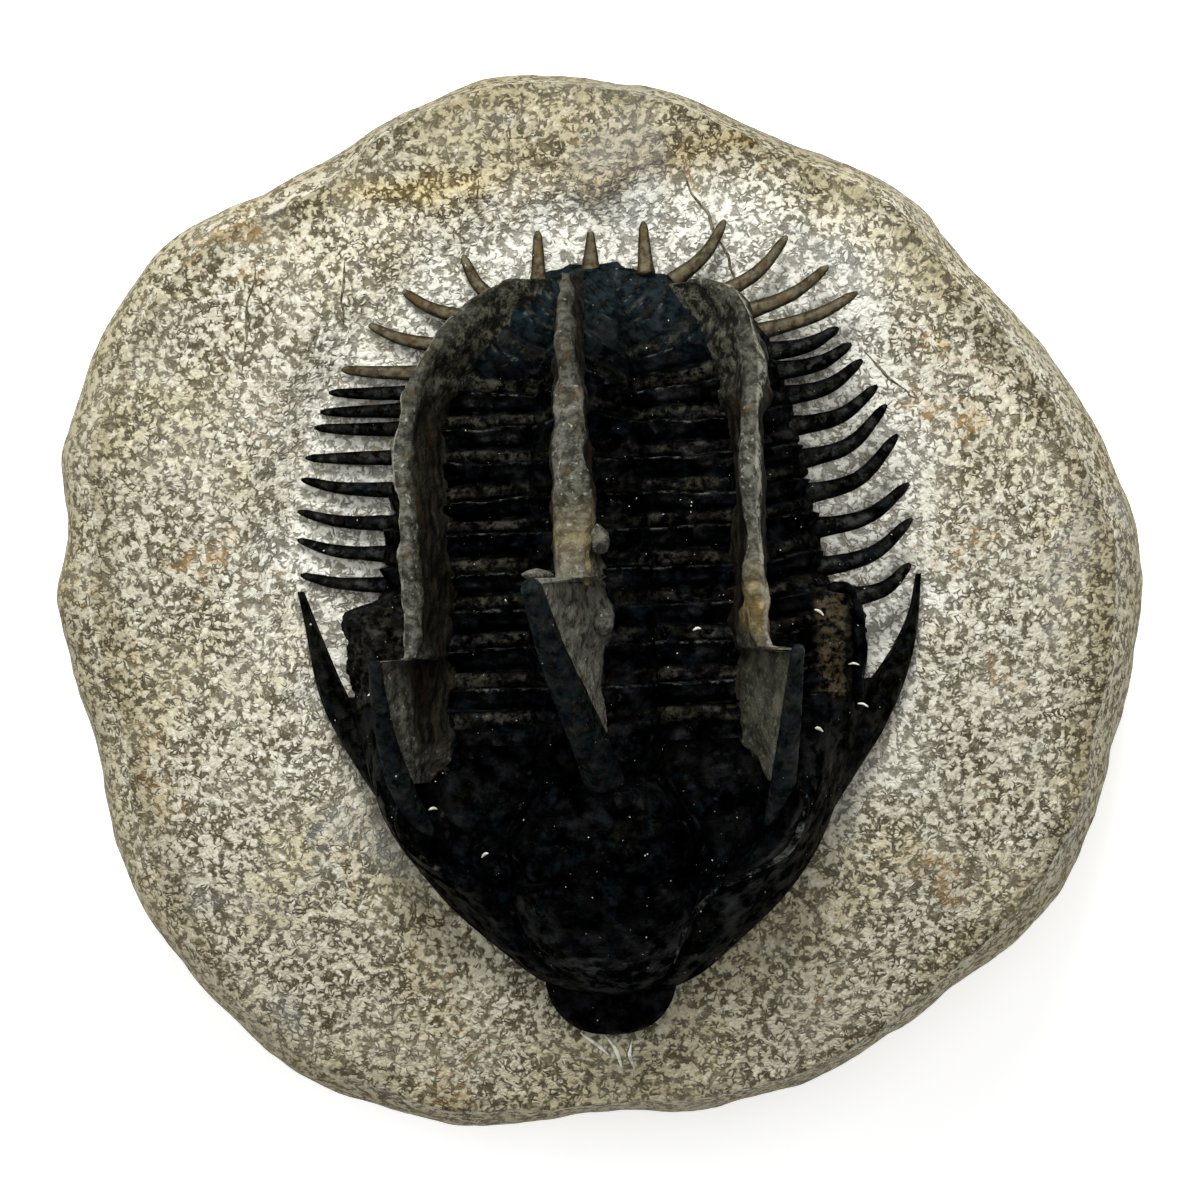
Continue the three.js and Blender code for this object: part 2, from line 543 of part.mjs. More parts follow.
// The fossil's outline on the stone, without its spines and wider all round by the clearance.
const OUTLINE_STATIONS = [
  -21.9, -21.2, -20, -18.8, -18.4, -17.8, -17.2, -15.5, -13.5, -11, -8, -4, 0, 2.4, 4.2, 9.8, 10.4, 11, 11.6, 12.6,
  17, 21, 25, 28, 30, 32, 33, 33.8, 34.4, 34.9, 35.3,
];
function fossilOutline(extra) {
  const [front, back] = [SNOUT.front - extra, TAIL_END + extra];
  const halfAt = (side, v) => {
    const nose = (v - SNOUT.back) / (front - SNOUT.back);
    const spoon = (SNOUT.half + extra) * Math.sqrt(Math.max(1 - nose ** 2, 0)) + side * SNOUT.u;
    const bowed = v - headBow(v);
    const cheek = v > -19 - extra && bowed < HEAD_BACK + extra ? headHalf(bowed) + extra * 1.4 : 0;
    const flank = v > 0 ? margin(v - extra * smoothstep(v, 28, 33)) + extra : 0;
    return Math.max(v < SNOUT.back ? spoon : 0, cheek, flank, 0.6) * (1 + side * tailSkew(v));
  };
  const stations = [front, ...OUTLINE_STATIONS, back];
  const right = stations.map((v) => inWorld(halfAt(1, v), v, MARGIN_HEIGHT));
  const left = stations.toReversed().map((v) => inWorld(-halfAt(-1, v), v, MARGIN_HEIGHT));
  return [...right, ...left].map((p) => [p.x, p.y]);
}

function pocket() {
  const outline = new THREE.Shape(fossilOutline(GAP + 0.1).map((p) => new THREE.Vector2(...p)));
  const block = new THREE.ExtrudeGeometry(outline, { depth: 20, bevelEnabled: false, curveSegments: 1 });
  return solid(block.translate(0, 0, POCKET_FLOOR));
}

function stone() {
  const spline = new THREE.CatmullRomCurve3(STONE_EDGE.map(([x, y]) => new THREE.Vector3(x, y, 0)), true);
  const edge = spline.getPoints(240).map((p) => [p.x, p.y]);
  const ledgeEdge = [...LEDGE_LINE, STONE_CENTRE];
  const fossilEdge = fossilOutline(1.3);
  const columns = Array.from({ length: STONE_BEARINGS }, (_, k) => {
    const bearing = (2 * Math.PI * k) / STONE_BEARINGS;
    const widest = reach(edge, STONE_CENTRE, bearing);
    const face = widest - lerp(EDGE_INSET.ends, EDGE_INSET.sides, Math.cos(bearing) ** 2);
    const tail = HOLLOW_TAIL_EXTRA * Math.exp(-(((bearing - rad(52)) / rad(20)) ** 2));
    const hollow = Math.max(HOLLOW_RADIUS + tail, reach(fossilEdge, STONE_CENTRE, bearing));
    const ledge = reach(ledgeEdge, STONE_CENTRE, bearing);
    const ledged = ledge > HOLLOW_RADIUS;
    const rim = Math.min(hollow + HOLLOW_SLOPE, face - 3, ledged ? ledge - 0.5 : face);
    const at = (radius, height) => {
      const x = STONE_CENTRE[0] + radius * Math.cos(bearing);
      const y = STONE_CENTRE[1] + radius * Math.sin(bearing);
      return new THREE.Vector3(x, y, height(x, y));
    };
    const dressed = (radius, drop = 0) => at(radius, (x) => {
      const step = ledged && radius > ledge ? ledgeRise(x) : 0;
      return FACE_HEIGHT + FACE_TILT * x - FACE_FALL * (radius / face) ** 3 + step - drop;
    });
    const foot = Math.min(ledged ? ledge - 0.2 : lerp(rim, face, 0.35), face - 1.8);
    const crest = Math.min(ledged ? ledge + 1 : lerp(rim, face, 0.6), face - 0.9);
    return [
      at(Math.min(hollow, rim - 0.8), floorAt),
      dressed(Math.min(rim, foot - 0.3)),
      dressed(foot),
      dressed(crest),
      dressed(lerp(crest, face, 0.6)),
      dressed(face),
      at(widest - 0.5, () => WIDEST_HEIGHT + 5),
      at(widest, () => WIDEST_HEIGHT),
      at(lerp(widest, widest * BASE_SHARE, 0.4), () => 3),
      at(widest * BASE_SHARE, () => 0),
    ];
  });
  const rings = columns[0].map((_, ring) => columns.map((column) => column[ring]));
  return loft(rings).subtract(pocket());
}

function meshOf(name, shape, colour, roughness) {
  const { vertProperties, triVerts } = shape.getMesh();
  const geometry = new THREE.BufferGeometry();
  geometry.setAttribute("position", new THREE.BufferAttribute(vertProperties, 3));
  geometry.setIndex(new THREE.BufferAttribute(triVerts, 1));
  const mesh = new THREE.Mesh(geometry, new THREE.MeshStandardMaterial({ color: colour, roughness, metalness: 0 }));
  mesh.name = name;
  return mesh;
}

const root = new THREE.Group();
root.add(
  meshOf("matrix_stone", stone(), STONE_COLOUR, 0.95),
  meshOf("trilobite", trilobite(), SHELL_COLOUR, 0.45),
  meshOf("middle_rock_wall", middleWall(), WALL_COLOUR, 0.9),
  meshOf("left_rock_wall", wall(LEFT_WALL, EYE_SPINE, -1, EYE_SPINE.splay.left), WALL_COLOUR, 0.9),
  meshOf("right_rock_wall", wall(RIGHT_WALL, EYE_SPINE, 1, EYE_SPINE.splay.right), WALL_COLOUR, 0.9),
);
root.position.set(...STONE_SHIFT, 0);
export default root;
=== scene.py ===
"""The looks of a Comura trilobite freed on its limestone nodule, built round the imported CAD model.

Tables are in millimetres. Meshes are in metres, +Z up, with the tail towards +Y.
"""

import math

import bpy
import numpy as np
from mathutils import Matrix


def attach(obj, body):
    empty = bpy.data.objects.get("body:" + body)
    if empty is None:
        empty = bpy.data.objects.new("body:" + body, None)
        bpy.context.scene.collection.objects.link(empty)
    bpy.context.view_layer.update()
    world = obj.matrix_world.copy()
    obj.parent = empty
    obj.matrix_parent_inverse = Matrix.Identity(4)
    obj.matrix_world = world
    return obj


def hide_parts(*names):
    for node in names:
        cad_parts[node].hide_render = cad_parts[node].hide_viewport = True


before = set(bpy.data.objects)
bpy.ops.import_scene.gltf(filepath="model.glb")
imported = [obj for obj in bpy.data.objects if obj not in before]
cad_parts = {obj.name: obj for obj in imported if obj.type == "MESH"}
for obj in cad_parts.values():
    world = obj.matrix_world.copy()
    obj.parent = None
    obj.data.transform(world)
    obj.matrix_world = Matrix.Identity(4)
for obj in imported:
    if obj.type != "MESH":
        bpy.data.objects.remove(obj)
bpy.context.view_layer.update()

MM = 0.001


def lerp(a, b, t):
    return a + (b - a) * t


def ease(x, low, high):
    """A soft rise from 0 to 1 as x goes from low to high."""
    t = np.clip((x - low) / (high - low), 0, 1)
    return t * t * (3 - 2 * t)


def fall(x, low, high):
    return 1 - ease(x, low, high)


def bump(x, middle, width):
    return np.exp(-(((x - middle) / width) ** 2))


def through(pairs):
    """A smooth curve through (station, value) pairs, level beyond its ends."""
    xs, ys = np.array(pairs, float).T
    count = np.arange(len(xs))
    before = np.maximum(count - 1, 0)
    after = np.minimum(count + 1, len(xs) - 1)
    slopes = (ys[after] - ys[before]) / (xs[after] - xs[before])

    def curve(x):
        x = np.clip(x, xs[0], xs[-1])
        i = np.clip(np.searchsorted(xs, x, side="right") - 1, 0, len(xs) - 2)
        span = xs[i + 1] - xs[i]
        t = (x - xs[i]) / span
        rise = t * t * (3 - 2 * t)
        bend = span * t * (1 - t) * (slopes[i] * (1 - t) - slopes[i + 1] * t)
        return ys[i] + (ys[i + 1] - ys[i]) * rise + bend

    return curve


# The stone
STONE_CENTRE = (0.37, 5.11)
STONE_BEARINGS = 720
FACE_HEIGHT = 24.4
FACE_TILT = 0.035
FACE_FALL = 4.6
FLOOR_HEIGHT = 21.7
FLOOR_TILT = 0.06
HOLLOW_RADIUS = 24.4
HOLLOW_TAIL_EXTRA = 2.6
HOLLOW_SLOPE = 2.6
SIDE_HEIGHTS = (16, 11, 3, 0)
BASE_SHARE = 0.9
POCKET_GAP = 1.3
NO_LEDGE = 99
STONE_EDGE = [
    (41.3, 5.2), (39.2, 10.3), (37, 15), (34.2, 19.2), (31, 22.9), (27.9, 26.3), (24.9, 29.8), (21.2, 32.3),
    (17.1, 34.1), (13, 35.6), (9, 37.4), (4.9, 39.1), (0.4, 40), (-4.2, 40.4), (-8.9, 40), (-13.3, 38.4),
    (-17.6, 36.4), (-21.3, 33.5), (-25.5, 31.1), (-30.7, 29.1), (-34.7, 25.5), (-37.8, 21), (-40, 16),
    (-41.6, 10.7), (-41.1, 5.2), (-41.6, -0.3), (-40.4, -5.7), (-38.6, -11), (-37.6, -16.7), (-35.6, -22.4),
    (-32.5, -27.7), (-28.5, -32.4), (-23.5, -36.1), (-17.7, -38.5), (-11.7, -40.1), (-5.6, -40.1),
    (0.4, -39.6), (6.3, -39.3), (12.1, -38.4), (17.7, -36.5), (22.8, -33.5), (27.3, -29.9), (31.8, -26.2),
    (35.6, -21.8), (38.4, -16.7), (39.6, -11), (40.9, -5.7), (41.5, -0.2),
]
# The ledge behind the tail: its line on the top, and its rise from left to right
LEDGE_LINE = [(-24, 29.4), (-15, 30.5), (-5, 30.9), (2, 31.7), (7, 32.9), (11, 34.4), (14, 36.4)]
ledge_rise = through([(-24, 0.2), (-15, 0.8), (-5, 1.3), (5, 1.3), (10, 0.9), (14, 0.2)])

# The lumps in the stone's material: how many to the metre, and how the noise that bends them is set
LUMP_SCALE = 1600
BEND_SCALE = 1300
BEND = 0.0011

# The fossil's own frame: u across, v along to the tail, w up from the hollow's floor
BODY_PLACE = (0.82, -10.59, 22)
BODY_YAW = math.radians(2.2)
BODY_ROLL = math.radians(8)

TAIL_END = 35.5
SEGMENTS = 11
FIRST_FURROW = 1.3
SEGMENT_LENGTH = 3
SEGMENT_SHORTENING = 0.035
TAIL_RIBS = 5
TAIL_RIB_LENGTH = 0.98
MARGIN_HEIGHT = 0.8
FULCRUM_DROP = 0.6
SKIRT_HEIGHT = 19
axis_top = through([
    (-1.5, 10.6), (5, 10.8), (12, 10.4), (20, 9.6), (27, 8), (32, 5.6), (34.2, 3.6), (TAIL_END, 1.7),
])
axis_half = through([(0, 4.8), (15, 4.6), (24, 4), (30, 3), (34, 1.7), (TAIL_END, 0.6)])
pleura_top = through([(0, 7.9), (12, 7.7), (20, 7.2), (27, 6), (32, 4), (34.2, 2.4), (TAIL_END, 1.3)])
fulcrum = through([
    (0, 11.6), (20, 11.4), (26, 11), (30, 10), (32, 8.4), (33.6, 6), (34.8, 3.2), (TAIL_END, 1),
])
margin = through([
    (0, 18.4), (4, 18.9), (10.2, 19), (11.3, 16.8), (14, 16.4), (17, 15.9), (20, 15.4), (24, 14.6),
    (28, 13.2), (30, 12.2), (32, 10.4), (33.5, 8), (34.4, 5.6), (35.1, 3.2), (TAIL_END, 1.6),
])
tail_skew = through([(26, 0), (33, 0.08), (36, 0.08)])
squareness = through([(9.8, 4.2), (11.6, 2.3)])

# The lumpy block at the front of each flank: from where to where out it begins, and how rusty it is
BLOCK_EDGE = {-1: (12.6, 14.4), 1: (16, 17)}
BLOCK_RUST = {-1: 0.05, 1: 0.8}

# How the furrows bend: back along the flanks, and arched over the axis in the tail
flank_sweep = through([(8, 1.2), (12, 0.8), (20, 0.7), (24.6, 0.4), (27, -0.1), (29.3, -0.9)])
tail_arch = through([(20, 0), (28, 2), (36, 2.4)])
tail_rise = through([(22, 0), (26, 0.12), (29, 0.3), (33, 0.75), (36, 0.9)])

# Relief along one segment, from its front edge at 0 to its rear edge at 1
pleura_relief = through([
    (0, -0.42), (0.05, -0.3), (0.12, -0.02), (0.24, 0.05), (0.34, -0.06), (0.43, -0.52), (0.5, -0.4),
    (0.6, 0.02), (0.78, 0.2), (0.92, 0.4), (0.975, 0.44), (1, -0.42),
])
axis_relief = through([
    (0, -0.55), (0.09, -0.6), (0.2, -0.3), (0.3, 0), (0.6, 0.16), (0.92, 0.42), (0.975, 0.44), (1, -0.55),
])

HEAD_FRONT = -19
HEAD_BACK = 1.6
HEAD_BOW = 2.4
head_half = through([
    (-19, 2.2), (-18.6, 4), (-17.6, 6.2), (-15.7, 8.6), (-12.3, 12.4), (-9, 15), (-5.5, 17), (-1.5, 19),
    (1.6, 20.4),
])
head_crest = through([
    (-19, 1.8), (-18.5, 4.2), (-17, 7.2), (-15, 9.3), (-12.5, 10.8), (-10, 11.5), (-7, 11.6), (-4, 11.2),
    (-2.6, 10.2), (-1.2, 10.9), (0.5, 10.7), (1.6, 10.3),
])
glabella_half = through([
    (-19, 1.4), (-18.2, 3.2), (-16.6, 5), (-14.5, 6.5), (-12.5, 7), (-10.5, 7.3), (-9.5, 7), (-7, 7.2),
    (-4.4, 5.8), (-2.6, 4.9), (1.6, 4.9),
])
shelf_half = through([
    (-19, 1.6), (-18.2, 3.4), (-16.6, 5.3), (-14.5, 6.9), (-12.5, 7.7), (-11, 8.9), (-9.5, 10.8), (-8, 13),
    (-6, 14.6), (-4, 15.2), (1.6, 15.2),
])
shelf_height = through([
    (-19, 1.6), (-18, 3), (-16.5, 4.6), (-14.2, 6), (-11.5, 7.8), (-9, 9.6), (-7, 11), (-5, 11.6), (-3, 11),
    (-1.2, 9.2), (1.6, 8),
])
cheek_height = through([(-19, 1.2), (-17, 2.4), (-13, 5), (-10, 6.6), (-6, 7.6), (1.6, 7.3)])
# Grooves across the head's middle lobe: place, lean and depth
HEAD_GROOVES = [(-4.9, 0.1, 0.45), (-7.1, 0.06, 0.4), (-9.5, 0.12, 0.8)]
SNOUT_RIM = (6.6, 6)
SNOUT = {"u": -0.6, "back": -17.4, "front": -22, "half": 5, "height": 2.1}

CHEEK_SPINE = {
    "outer": {
        -1: [(-7, 15.6), (-3, 18.4), (0.4, 20.4), (2.9, 21.6), (5.3, 22.3), (9.2, 22.9), (12, 23.4)],
        1: [(-7, 15.6), (-3, 18.4), (0.2, 20.6), (3.7, 22.3), (7.3, 23.3), (11.6, 23.8)],
    },
    "inner": {
        -1: [(-7, 12.4), (-3, 14.8), (0.4, 17.7), (2.8, 19.2), (4.8, 20.2), (8.4, 21.6), (12, 22.9)],
        1: [
            (-7, 12.4), (-3, 14.8), (1.6, 17.6), (3.6, 19.4), (5, 20.6), (7, 21.9), (9, 22.8),
            (11.6, 23.4),
        ],
    },
    "height": [(-7, 3.6), (-3, 3.4), (3, 2.7), (12, 1.2)],
}
EYE_SPINE = {
    "u": [(-6.2, 13.1), (-3, 13.9), (2, 14.7), (6.7, 15)],
    "w": [(-6.2, 8.4), (-3, 11.2), (2, 15.6), (6.7, 19)],
    "root": 1,
    "tip": 0.46,
}
EYE_SPINE_SPLAY = {-1: -0.9, 1: 1.1}
NECK_SPINE = {
    "u": [(-3.4, 0.8), (-2, 0.6), (0.8, 0.15), (5.8, -1), (10, -1.7), (11.8, -1.9)],
    "w": [(-3.4, 8.6), (0, 12.6), (6, 18.8), (11.8, 24.2)],
    "root": 1.45,
    "tip": 0.74,
}

# The fan of spines round its middle. A spine is its root's v, its bearing in degrees and its reach
SPINE_FAN = (0.1, 15.8)
SIDE_SPINE = {
    -1: {"root": 0.58, "tip": 0.26, "bend": 0.3, "flare": 0.12},
    1: {"root": 0.72, "tip": 0.32, "bend": 0.26, "flare": 0.12},
}
TAIL_SPINE = {
    -1: {"root": 0.58, "tip": 0.3, "bend": 0.42, "flare": 0.1},
    1: {"root": 0.6, "tip": 0.3, "bend": 0.42, "flare": 0.1},
}
SIDE_SPINES = {
    -1: [
        (12.2, -6.3, 23.1), (14.5, 0.3, 23.1), (16.8, 5.6, 23.1), (19.3, 11.6, 23.1), (21.8, 15.7, 23.1),
        (23.9, 21.6, 23.1), (25.3, 24.7, 23.1), (26.6, 28.7, 23.1),
    ],
    1: [
        (9.9, -8.6, 23.1), (12.2, -0.3, 23.1), (15.1, 6.2, 23.1), (17.6, 15.4, 23.1), (20.2, 21.3, 23.1),
        (22.7, 25.2, 23.1), (25, 30.7, 23.1), (26.9, 34.3, 23.1), (28.4, 38.1, 23.1),
    ],
}
TAIL_SPINES = {
    -1: [(28, 33.6, 23.1), (29.8, 43.3, 23.4), (31.8, 52.2, 23.4), (33, 65.2, 23.1), (34.4, 80.1, 22.9)],
    1: [(29.8, 40.5, 25.9), (31.2, 47, 25.8), (32.6, 55.5, 25.8), (34, 66.2, 24.8), (34.6, 80.4, 23.2)],
}
END_SPINE = ((0, 34.2), (0.1, 38))

# Walls of rock under and behind the upright spines
SIDE_WALLS = {
    -1: {
        "ends": (-2.4, 34.6),
        "under": 6.8,
        "foot": [
            (-2.4, 12.4), (-0.6, 11.9), (3, 11.8), (8, 11.6), (12, 11.4), (18, 11.6), (22, 11.9),
            (26, 11.4), (29, 10), (31.5, 8.2), (34.6, 3.8),
        ],
        "root": [(-2.4, 0.4), (0, 1.1), (30, 1.2), (34.6, 0.8)],
        "ramp": [(24, 0), (28, 1), (31, 1.8), (34.6, 0.8)],
        "top": [
            (6.4, 12.8), (7.2, 12.35), (12, 12.2), (15, 12.3), (18, 12.5), (21.4, 12.9), (24.5, 12.5),
            (27.5, 11.9), (30.7, 9.9), (32.2, 9), (34, 6.8), (34.6, 5.6),
        ],
        "half": [(7, 0.72), (24, 0.75), (31, 0.7), (34.6, 0.4)],
        "height": [
            (6.4, 16), (7.2, 15.4), (12, 15), (20, 14), (24, 12.8), (28.5, 10.6), (31.5, 8.2), (33.2, 6),
            (34.6, 4.2),
        ],
    },
    1: {
        "ends": (-3, 33.8),
        "under": 6.6,
        "foot": [
            (-3, 12.9), (-1, 12), (1, 11.5), (4.9, 11.2), (11, 11.5), (17, 11.7), (23.6, 11.8), (28, 11.9),
            (30, 11), (32, 9.4), (33.8, 7),
        ],
        "root": [(-3, 0.4), (0, 1.2), (30, 1.2), (33.8, 0.8)],
        "ramp": [(22, 0), (26, 1), (29, 2), (32, 2), (33.8, 0.8)],
        "top": [
            (6.4, 13.5), (7.2, 13.1), (11, 12.9), (19.3, 12.7), (23.3, 12.8), (27, 12.9), (29.5, 12.5),
            (31.4, 12.1), (32.6, 11.2), (33.4, 9.6), (33.8, 8),
        ],
        "half": [(7, 0.72), (24, 0.75), (31, 0.7), (33.8, 0.4)],
        "height": [
            (6.4, 16), (7.2, 15.4), (12, 15), (20, 14), (24, 12.8), (28.5, 10.8), (31.5, 9), (32.6, 7.6),
            (33.8, 4.8),
        ],
    },
}
MIDDLE_WALL = {
    "ends": (0.9, 34.7),
    "under": 12.1,
    "foot": [
        (0.9, 0.75), (2.4, 0.4), (4, 0.2), (6, 0.3), (8, 0.8), (10, 0.9), (12.4, 0.5), (15.5, -0.8),
        (28, -1.1), (31.5, -1.1), (34.7, -0.7),
    ],
    "root": [(0.9, 0.3), (3, 0.9), (6, 1.2), (31, 1.1), (34.7, 0.6)],
    "ramp": [(0, 0), (34.7, 0)],
    "top": [
        (11.3, 0), (14, 0.1), (17.2, 0.3), (20.5, 0.13), (24.3, 0.1), (28, -0.19), (31.5, -0.69),
        (34.7, -1.26),
    ],
    "half": [
        (11.3, 1.4), (14, 1.4), (17.2, 1.55), (20.5, 1.33), (24.3, 1.2), (28, 0.92), (31.5, 0.64),
        (34.7, 0.44),
    ],
    "height": [(11.3, 19.2), (12.4, 17.8), (21, 17), (28.5, 14), (32, 10.8), (33.8, 8), (34.7, 6.4)],
}

# Thin things that lie on the fossil, in its own frame. A fleck is its place, its height if it doesn't
# lie on the fossil, its length and its bearing in degrees
HEAD_RIMS = [
    ([(15.2, -3.6), (15.5, -4.6), (14.9, -6.3), (13.9, -8), (12.3, -9.1), (10.4, -10)], 0.34),
    ([(11.4, -9.6), (8.6, -10.9), (6.3, -13.2), (5.1, -16.2)], 0.22),
    ([(-14.1, -2.4), (-14.4, -5.1), (-13.4, -7.2), (-11.7, -8.7), (-9.7, -9.4)], 0.22),
]
BLOCK_RIDGES = [
    ([(19, 9.9, 5.2), (19.3, 8.6, 5.3), (19.3, 6.1, 5.2), (19.1, 3.6, 5), (19, 1.8, 4.4)], 0.5),
    ([(16.9, 10.2, 5.2), (17.8, 10.7, 5.4), (18.7, 10.5, 5.3), (19.1, 9.7, 5)], 0.5),
]
# How strongly each rim and ridge above gets a painted highlight, the right eye's rim most
RIM_HIGHLIGHTS = [0.9, 0.35, 0.35, 0, 0]
FLECKS = [
    (-16.6, 4.2, 7.4, 0.8, 12), (-16.1, 2.1, 7.6, 1.1, 40), (-15.7, 1.4, 7.6, 1.3, 112),
    (-15.5, 0.7, 7.7, 0.9, 95), (-15.3, 0, 7.8, 0.7, 20), (16.6, 9, None, 0.8, -35),
    (18.9, 5.1, 5.9, 0.8, -5), (19.4, 2.1, 5.2, 0.8, -20), (-12.3, -4.4, None, 0.5, 0),
    (-8.6, -7.9, None, 0.6, 30), (7.7, 8.1, None, 0.6, 10), (16.4, 0.5, None, 0.6, -30),
]
FLECK_RADIUS = 0.1
CRACK_RADIUS = 0.1
SCRATCH_RADIUS = 0.13

# Thin lines on the stone, flat places in the row's frame
CRACKS = [
    [(5.9, 32.3), (7.2, 29.9), (8.5, 27.4), (9.7, 25), (10.8, 23)],
    [(19.7, 18.5), (21.6, 16.6), (23.8, 14.8)],
    [(-26.1, 24.9), (-26.6, 21.2), (-26.9, 17.2)],
    [(-19.4, 25.2), (-19.4, 22.4), (-19.4, 20.1)],
]
SCRATCHES = [
    [(-1.5, -32.6), (-0.2, -33.5), (0.6, -34.2)],
    [(0.2, -32.6), (1.2, -33.9), (1.6, -35.3)],
    [(2.4, -33), (2.2, -34.2), (2.6, -35.4)],
]

# Lumps on the middle wall: start, end and radius, in the fossil's frame
WALL_KNOBS = [
    ((1, 16.1, 15.4), (2.2, 13.9, 15.6), 1),
    ((1.4, 9.9, 13), (1.7, 7.9, 12.8), 0.7),
    ((0.2, 15.6, 16.9), (1, 11.6, 16.6), 0.75),
    ((-0.9, 12.4, 20.2), (-2.5, 12.5, 23.6), 0.4),
]
YELLOW_KNOB = 2

# How finely the meshes are divided
BACK_ROWS, AXIS_POINTS, RIB_POINTS, FLANK_POINTS = 412, 40, 34, 31
HEAD_ROWS, HEAD_POINTS = 210, 221
WALL_ROWS, WALL_POINTS = 230, 40
FRINGE_SIDES = 16
UPRIGHT_SIDES = 28

# The setting, in metres. A light is its name, its place, its size and its power in watts
FLOOR_REACH = 3.0
FLOOR_WHITE = (0.95, 0.95, 0.945, 1)
FLOOR_GLOW = 0.5
SKY_STRENGTH = 0.22
CAMERA_PLACE = (-0.00003, -0.00009, 0.342)
CAMERA_SENSOR = 36
CAMERA_LENS = 128
LIGHTS = [
    ("tail_light", (-0.05, 0.42, 0.46), 0.2, 3.6),
    ("top_light", (0.05, 0.02, 0.7), 0.5, 1.7),
    ("left_light", (-0.42, 0.12, 0.34), 0.3, 0.7),
]


def evenly(values, t):
    """A smooth curve through evenly spaced values, read t stations along."""
    return through(np.stack([np.arange(float(len(values))), values], -1))(t)


def spots(*parts):
    """Points or values side by side, each given as a number or an array."""
    return np.stack(np.broadcast_arrays(*parts), -1)


def scatter(cells, seed):
    """A repeatable random value from -1 to 1 for each whole-numbered cell."""
    mixed = seed * 2654435761
    for axis, prime in enumerate((73856093, 19349663, 83492791)):
        mixed = mixed ^ cells[..., axis] * prime
    mixed = (mixed ^ (mixed >> 13)) * 1274126177 & 0x7FFFFFFF
    mixed = (mixed ^ (mixed >> 15)) * 668265263 & 0x7FFFFFFF
    return (mixed >> 8 & 0xFFFF) / 32767.5 - 1


def lumps(points, size, seed):
    """Smooth random values from about -1 to 1, in lumps about size across."""
    cells = points / size
    low = np.floor(cells).astype(np.int64)
    part = cells - low
    part = part * part * (3 - 2 * part)
    total = 0
    for corner in range(8):
        step = np.array([corner & 1, corner >> 1 & 1, corner >> 2 & 1])
        weight = np.prod(np.where(step == 1, part, 1 - part), axis=-1)
        total = total + weight * scatter(low + step, seed)
    return total * 1.4


def rough(points, size, seed, layers=3):
    """Lumps with finer lumps on them."""
    total = 0
    for layer in range(layers):
        total = total + lumps(points, size / 2**layer, seed + layer) / 2**layer
    return total / 1.5


def in_world(u, v, w):
    """Points of the fossil's frame, in the row's frame."""
    across = u * math.cos(BODY_ROLL) - w * math.sin(BODY_ROLL)
    x = across * math.cos(BODY_YAW) - v * math.sin(BODY_YAW) + BODY_PLACE[0]
    y = across * math.sin(BODY_YAW) + v * math.cos(BODY_YAW) + BODY_PLACE[1]
    z = u * math.sin(BODY_ROLL) + w * math.cos(BODY_ROLL) + BODY_PLACE[2]
    return spots(x, y, z)


def floor_at(x):
    """Height of the hollow's floor."""
    return FLOOR_HEIGHT + FLOOR_TILT * (x - STONE_CENTRE[0])


def normals(rings):
    """Unit normals of a closed skin of rings, either way out."""
    along = np.gradient(rings, axis=0)
    around = np.roll(rings, -1, axis=1) - np.roll(rings, 1, axis=1)
    across = np.cross(around, along)
    return across / np.maximum(np.linalg.norm(across, axis=-1, keepdims=True), 1e-9)


def grid_faces(rows, count):
    """Quads between rings of count points, and the fans that close both ends at two added points."""
    grid = np.arange(rows * count).reshape(rows, count)
    a, b = grid[:-1], np.roll(grid[:-1], -1, axis=1)
    c, d = np.roll(grid[1:], -1, axis=1), grid[1:]
    quads = np.stack([a, b, c, d], -1).reshape(-1, 4)
    ends = rows * count
    fans = [(ends, (i + 1) % count, i) for i in range(count)]
    fans += [(ends + 1, ends - count + i, ends - count + (i + 1) % count) for i in range(count)]
    return quads, fans


def faces_out(corners, quads):
    """Whether the quads of a skin face outwards."""
    a, b, c, d = [corners[quads[:, i]] for i in range(4)]
    return np.einsum("ij,ij->", a, np.cross(b, c)) + np.einsum("ij,ij->", a, np.cross(c, d)) >= 0


def piece(name, shells, material, node, marks=None):
    """One object from closed skins of rings, each end closed by a fan.

    marks holds named values for the material. Each is a list with one entry for every skin, or one entry
    for all, and an entry is spread over the rings and points of its skin.
    """
    points, faces = [], []
    marks = marks or {}
    values = {key: [] for key in marks}
    first = 0
    for number, rings in enumerate(shells):
        corners = np.concatenate([rings.reshape(-1, 3), [rings[0].mean(0), rings[-1].mean(0)]])
        quads, fans = grid_faces(*rings.shape[:2])
        way = 1 if faces_out(corners, quads) else -1
        faces += [tuple(first + corner for corner in face[::way]) for face in quads.tolist() + fans]
        points.append(corners)
        first += len(corners)
        for key, mark in marks.items():
            mark = np.broadcast_to(mark[number] if isinstance(mark, list) else mark, rings.shape[:2])
            values[key].append(np.concatenate([mark.ravel(), [mark[0].mean(), mark[-1].mean()]]))
    mesh = bpy.data.meshes.new(name)
    mesh.from_pydata((np.concatenate(points) * MM).tolist(), [], faces)
    for key, blocks in values.items():
        attribute = mesh.attributes.new(key, "FLOAT", "POINT")
        attribute.data.foreach_set("value", np.concatenate(blocks).astype(np.float32))
    mesh.shade_smooth()
    mesh.materials.append(material)
    made = add_object(name, mesh)
    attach(made, "root")
    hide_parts(node)


def add_object(name, data):
    made = bpy.data.objects.new(name, data)
    bpy.context.scene.collection.objects.link(made)
    return made


def fossil_piece(name, shells, marks, material=None):
    piece(name, shells, material or shell, "trilobite", marks)


def stone_piece(name, shells, material, marks=None):
    piece(name, shells, material, "matrix_stone", marks)


def wall_piece(side, shells, marks):
    piece(f"{side}_wall", shells, wall_rock, f"{side}_rock_wall", marks)


# Materials


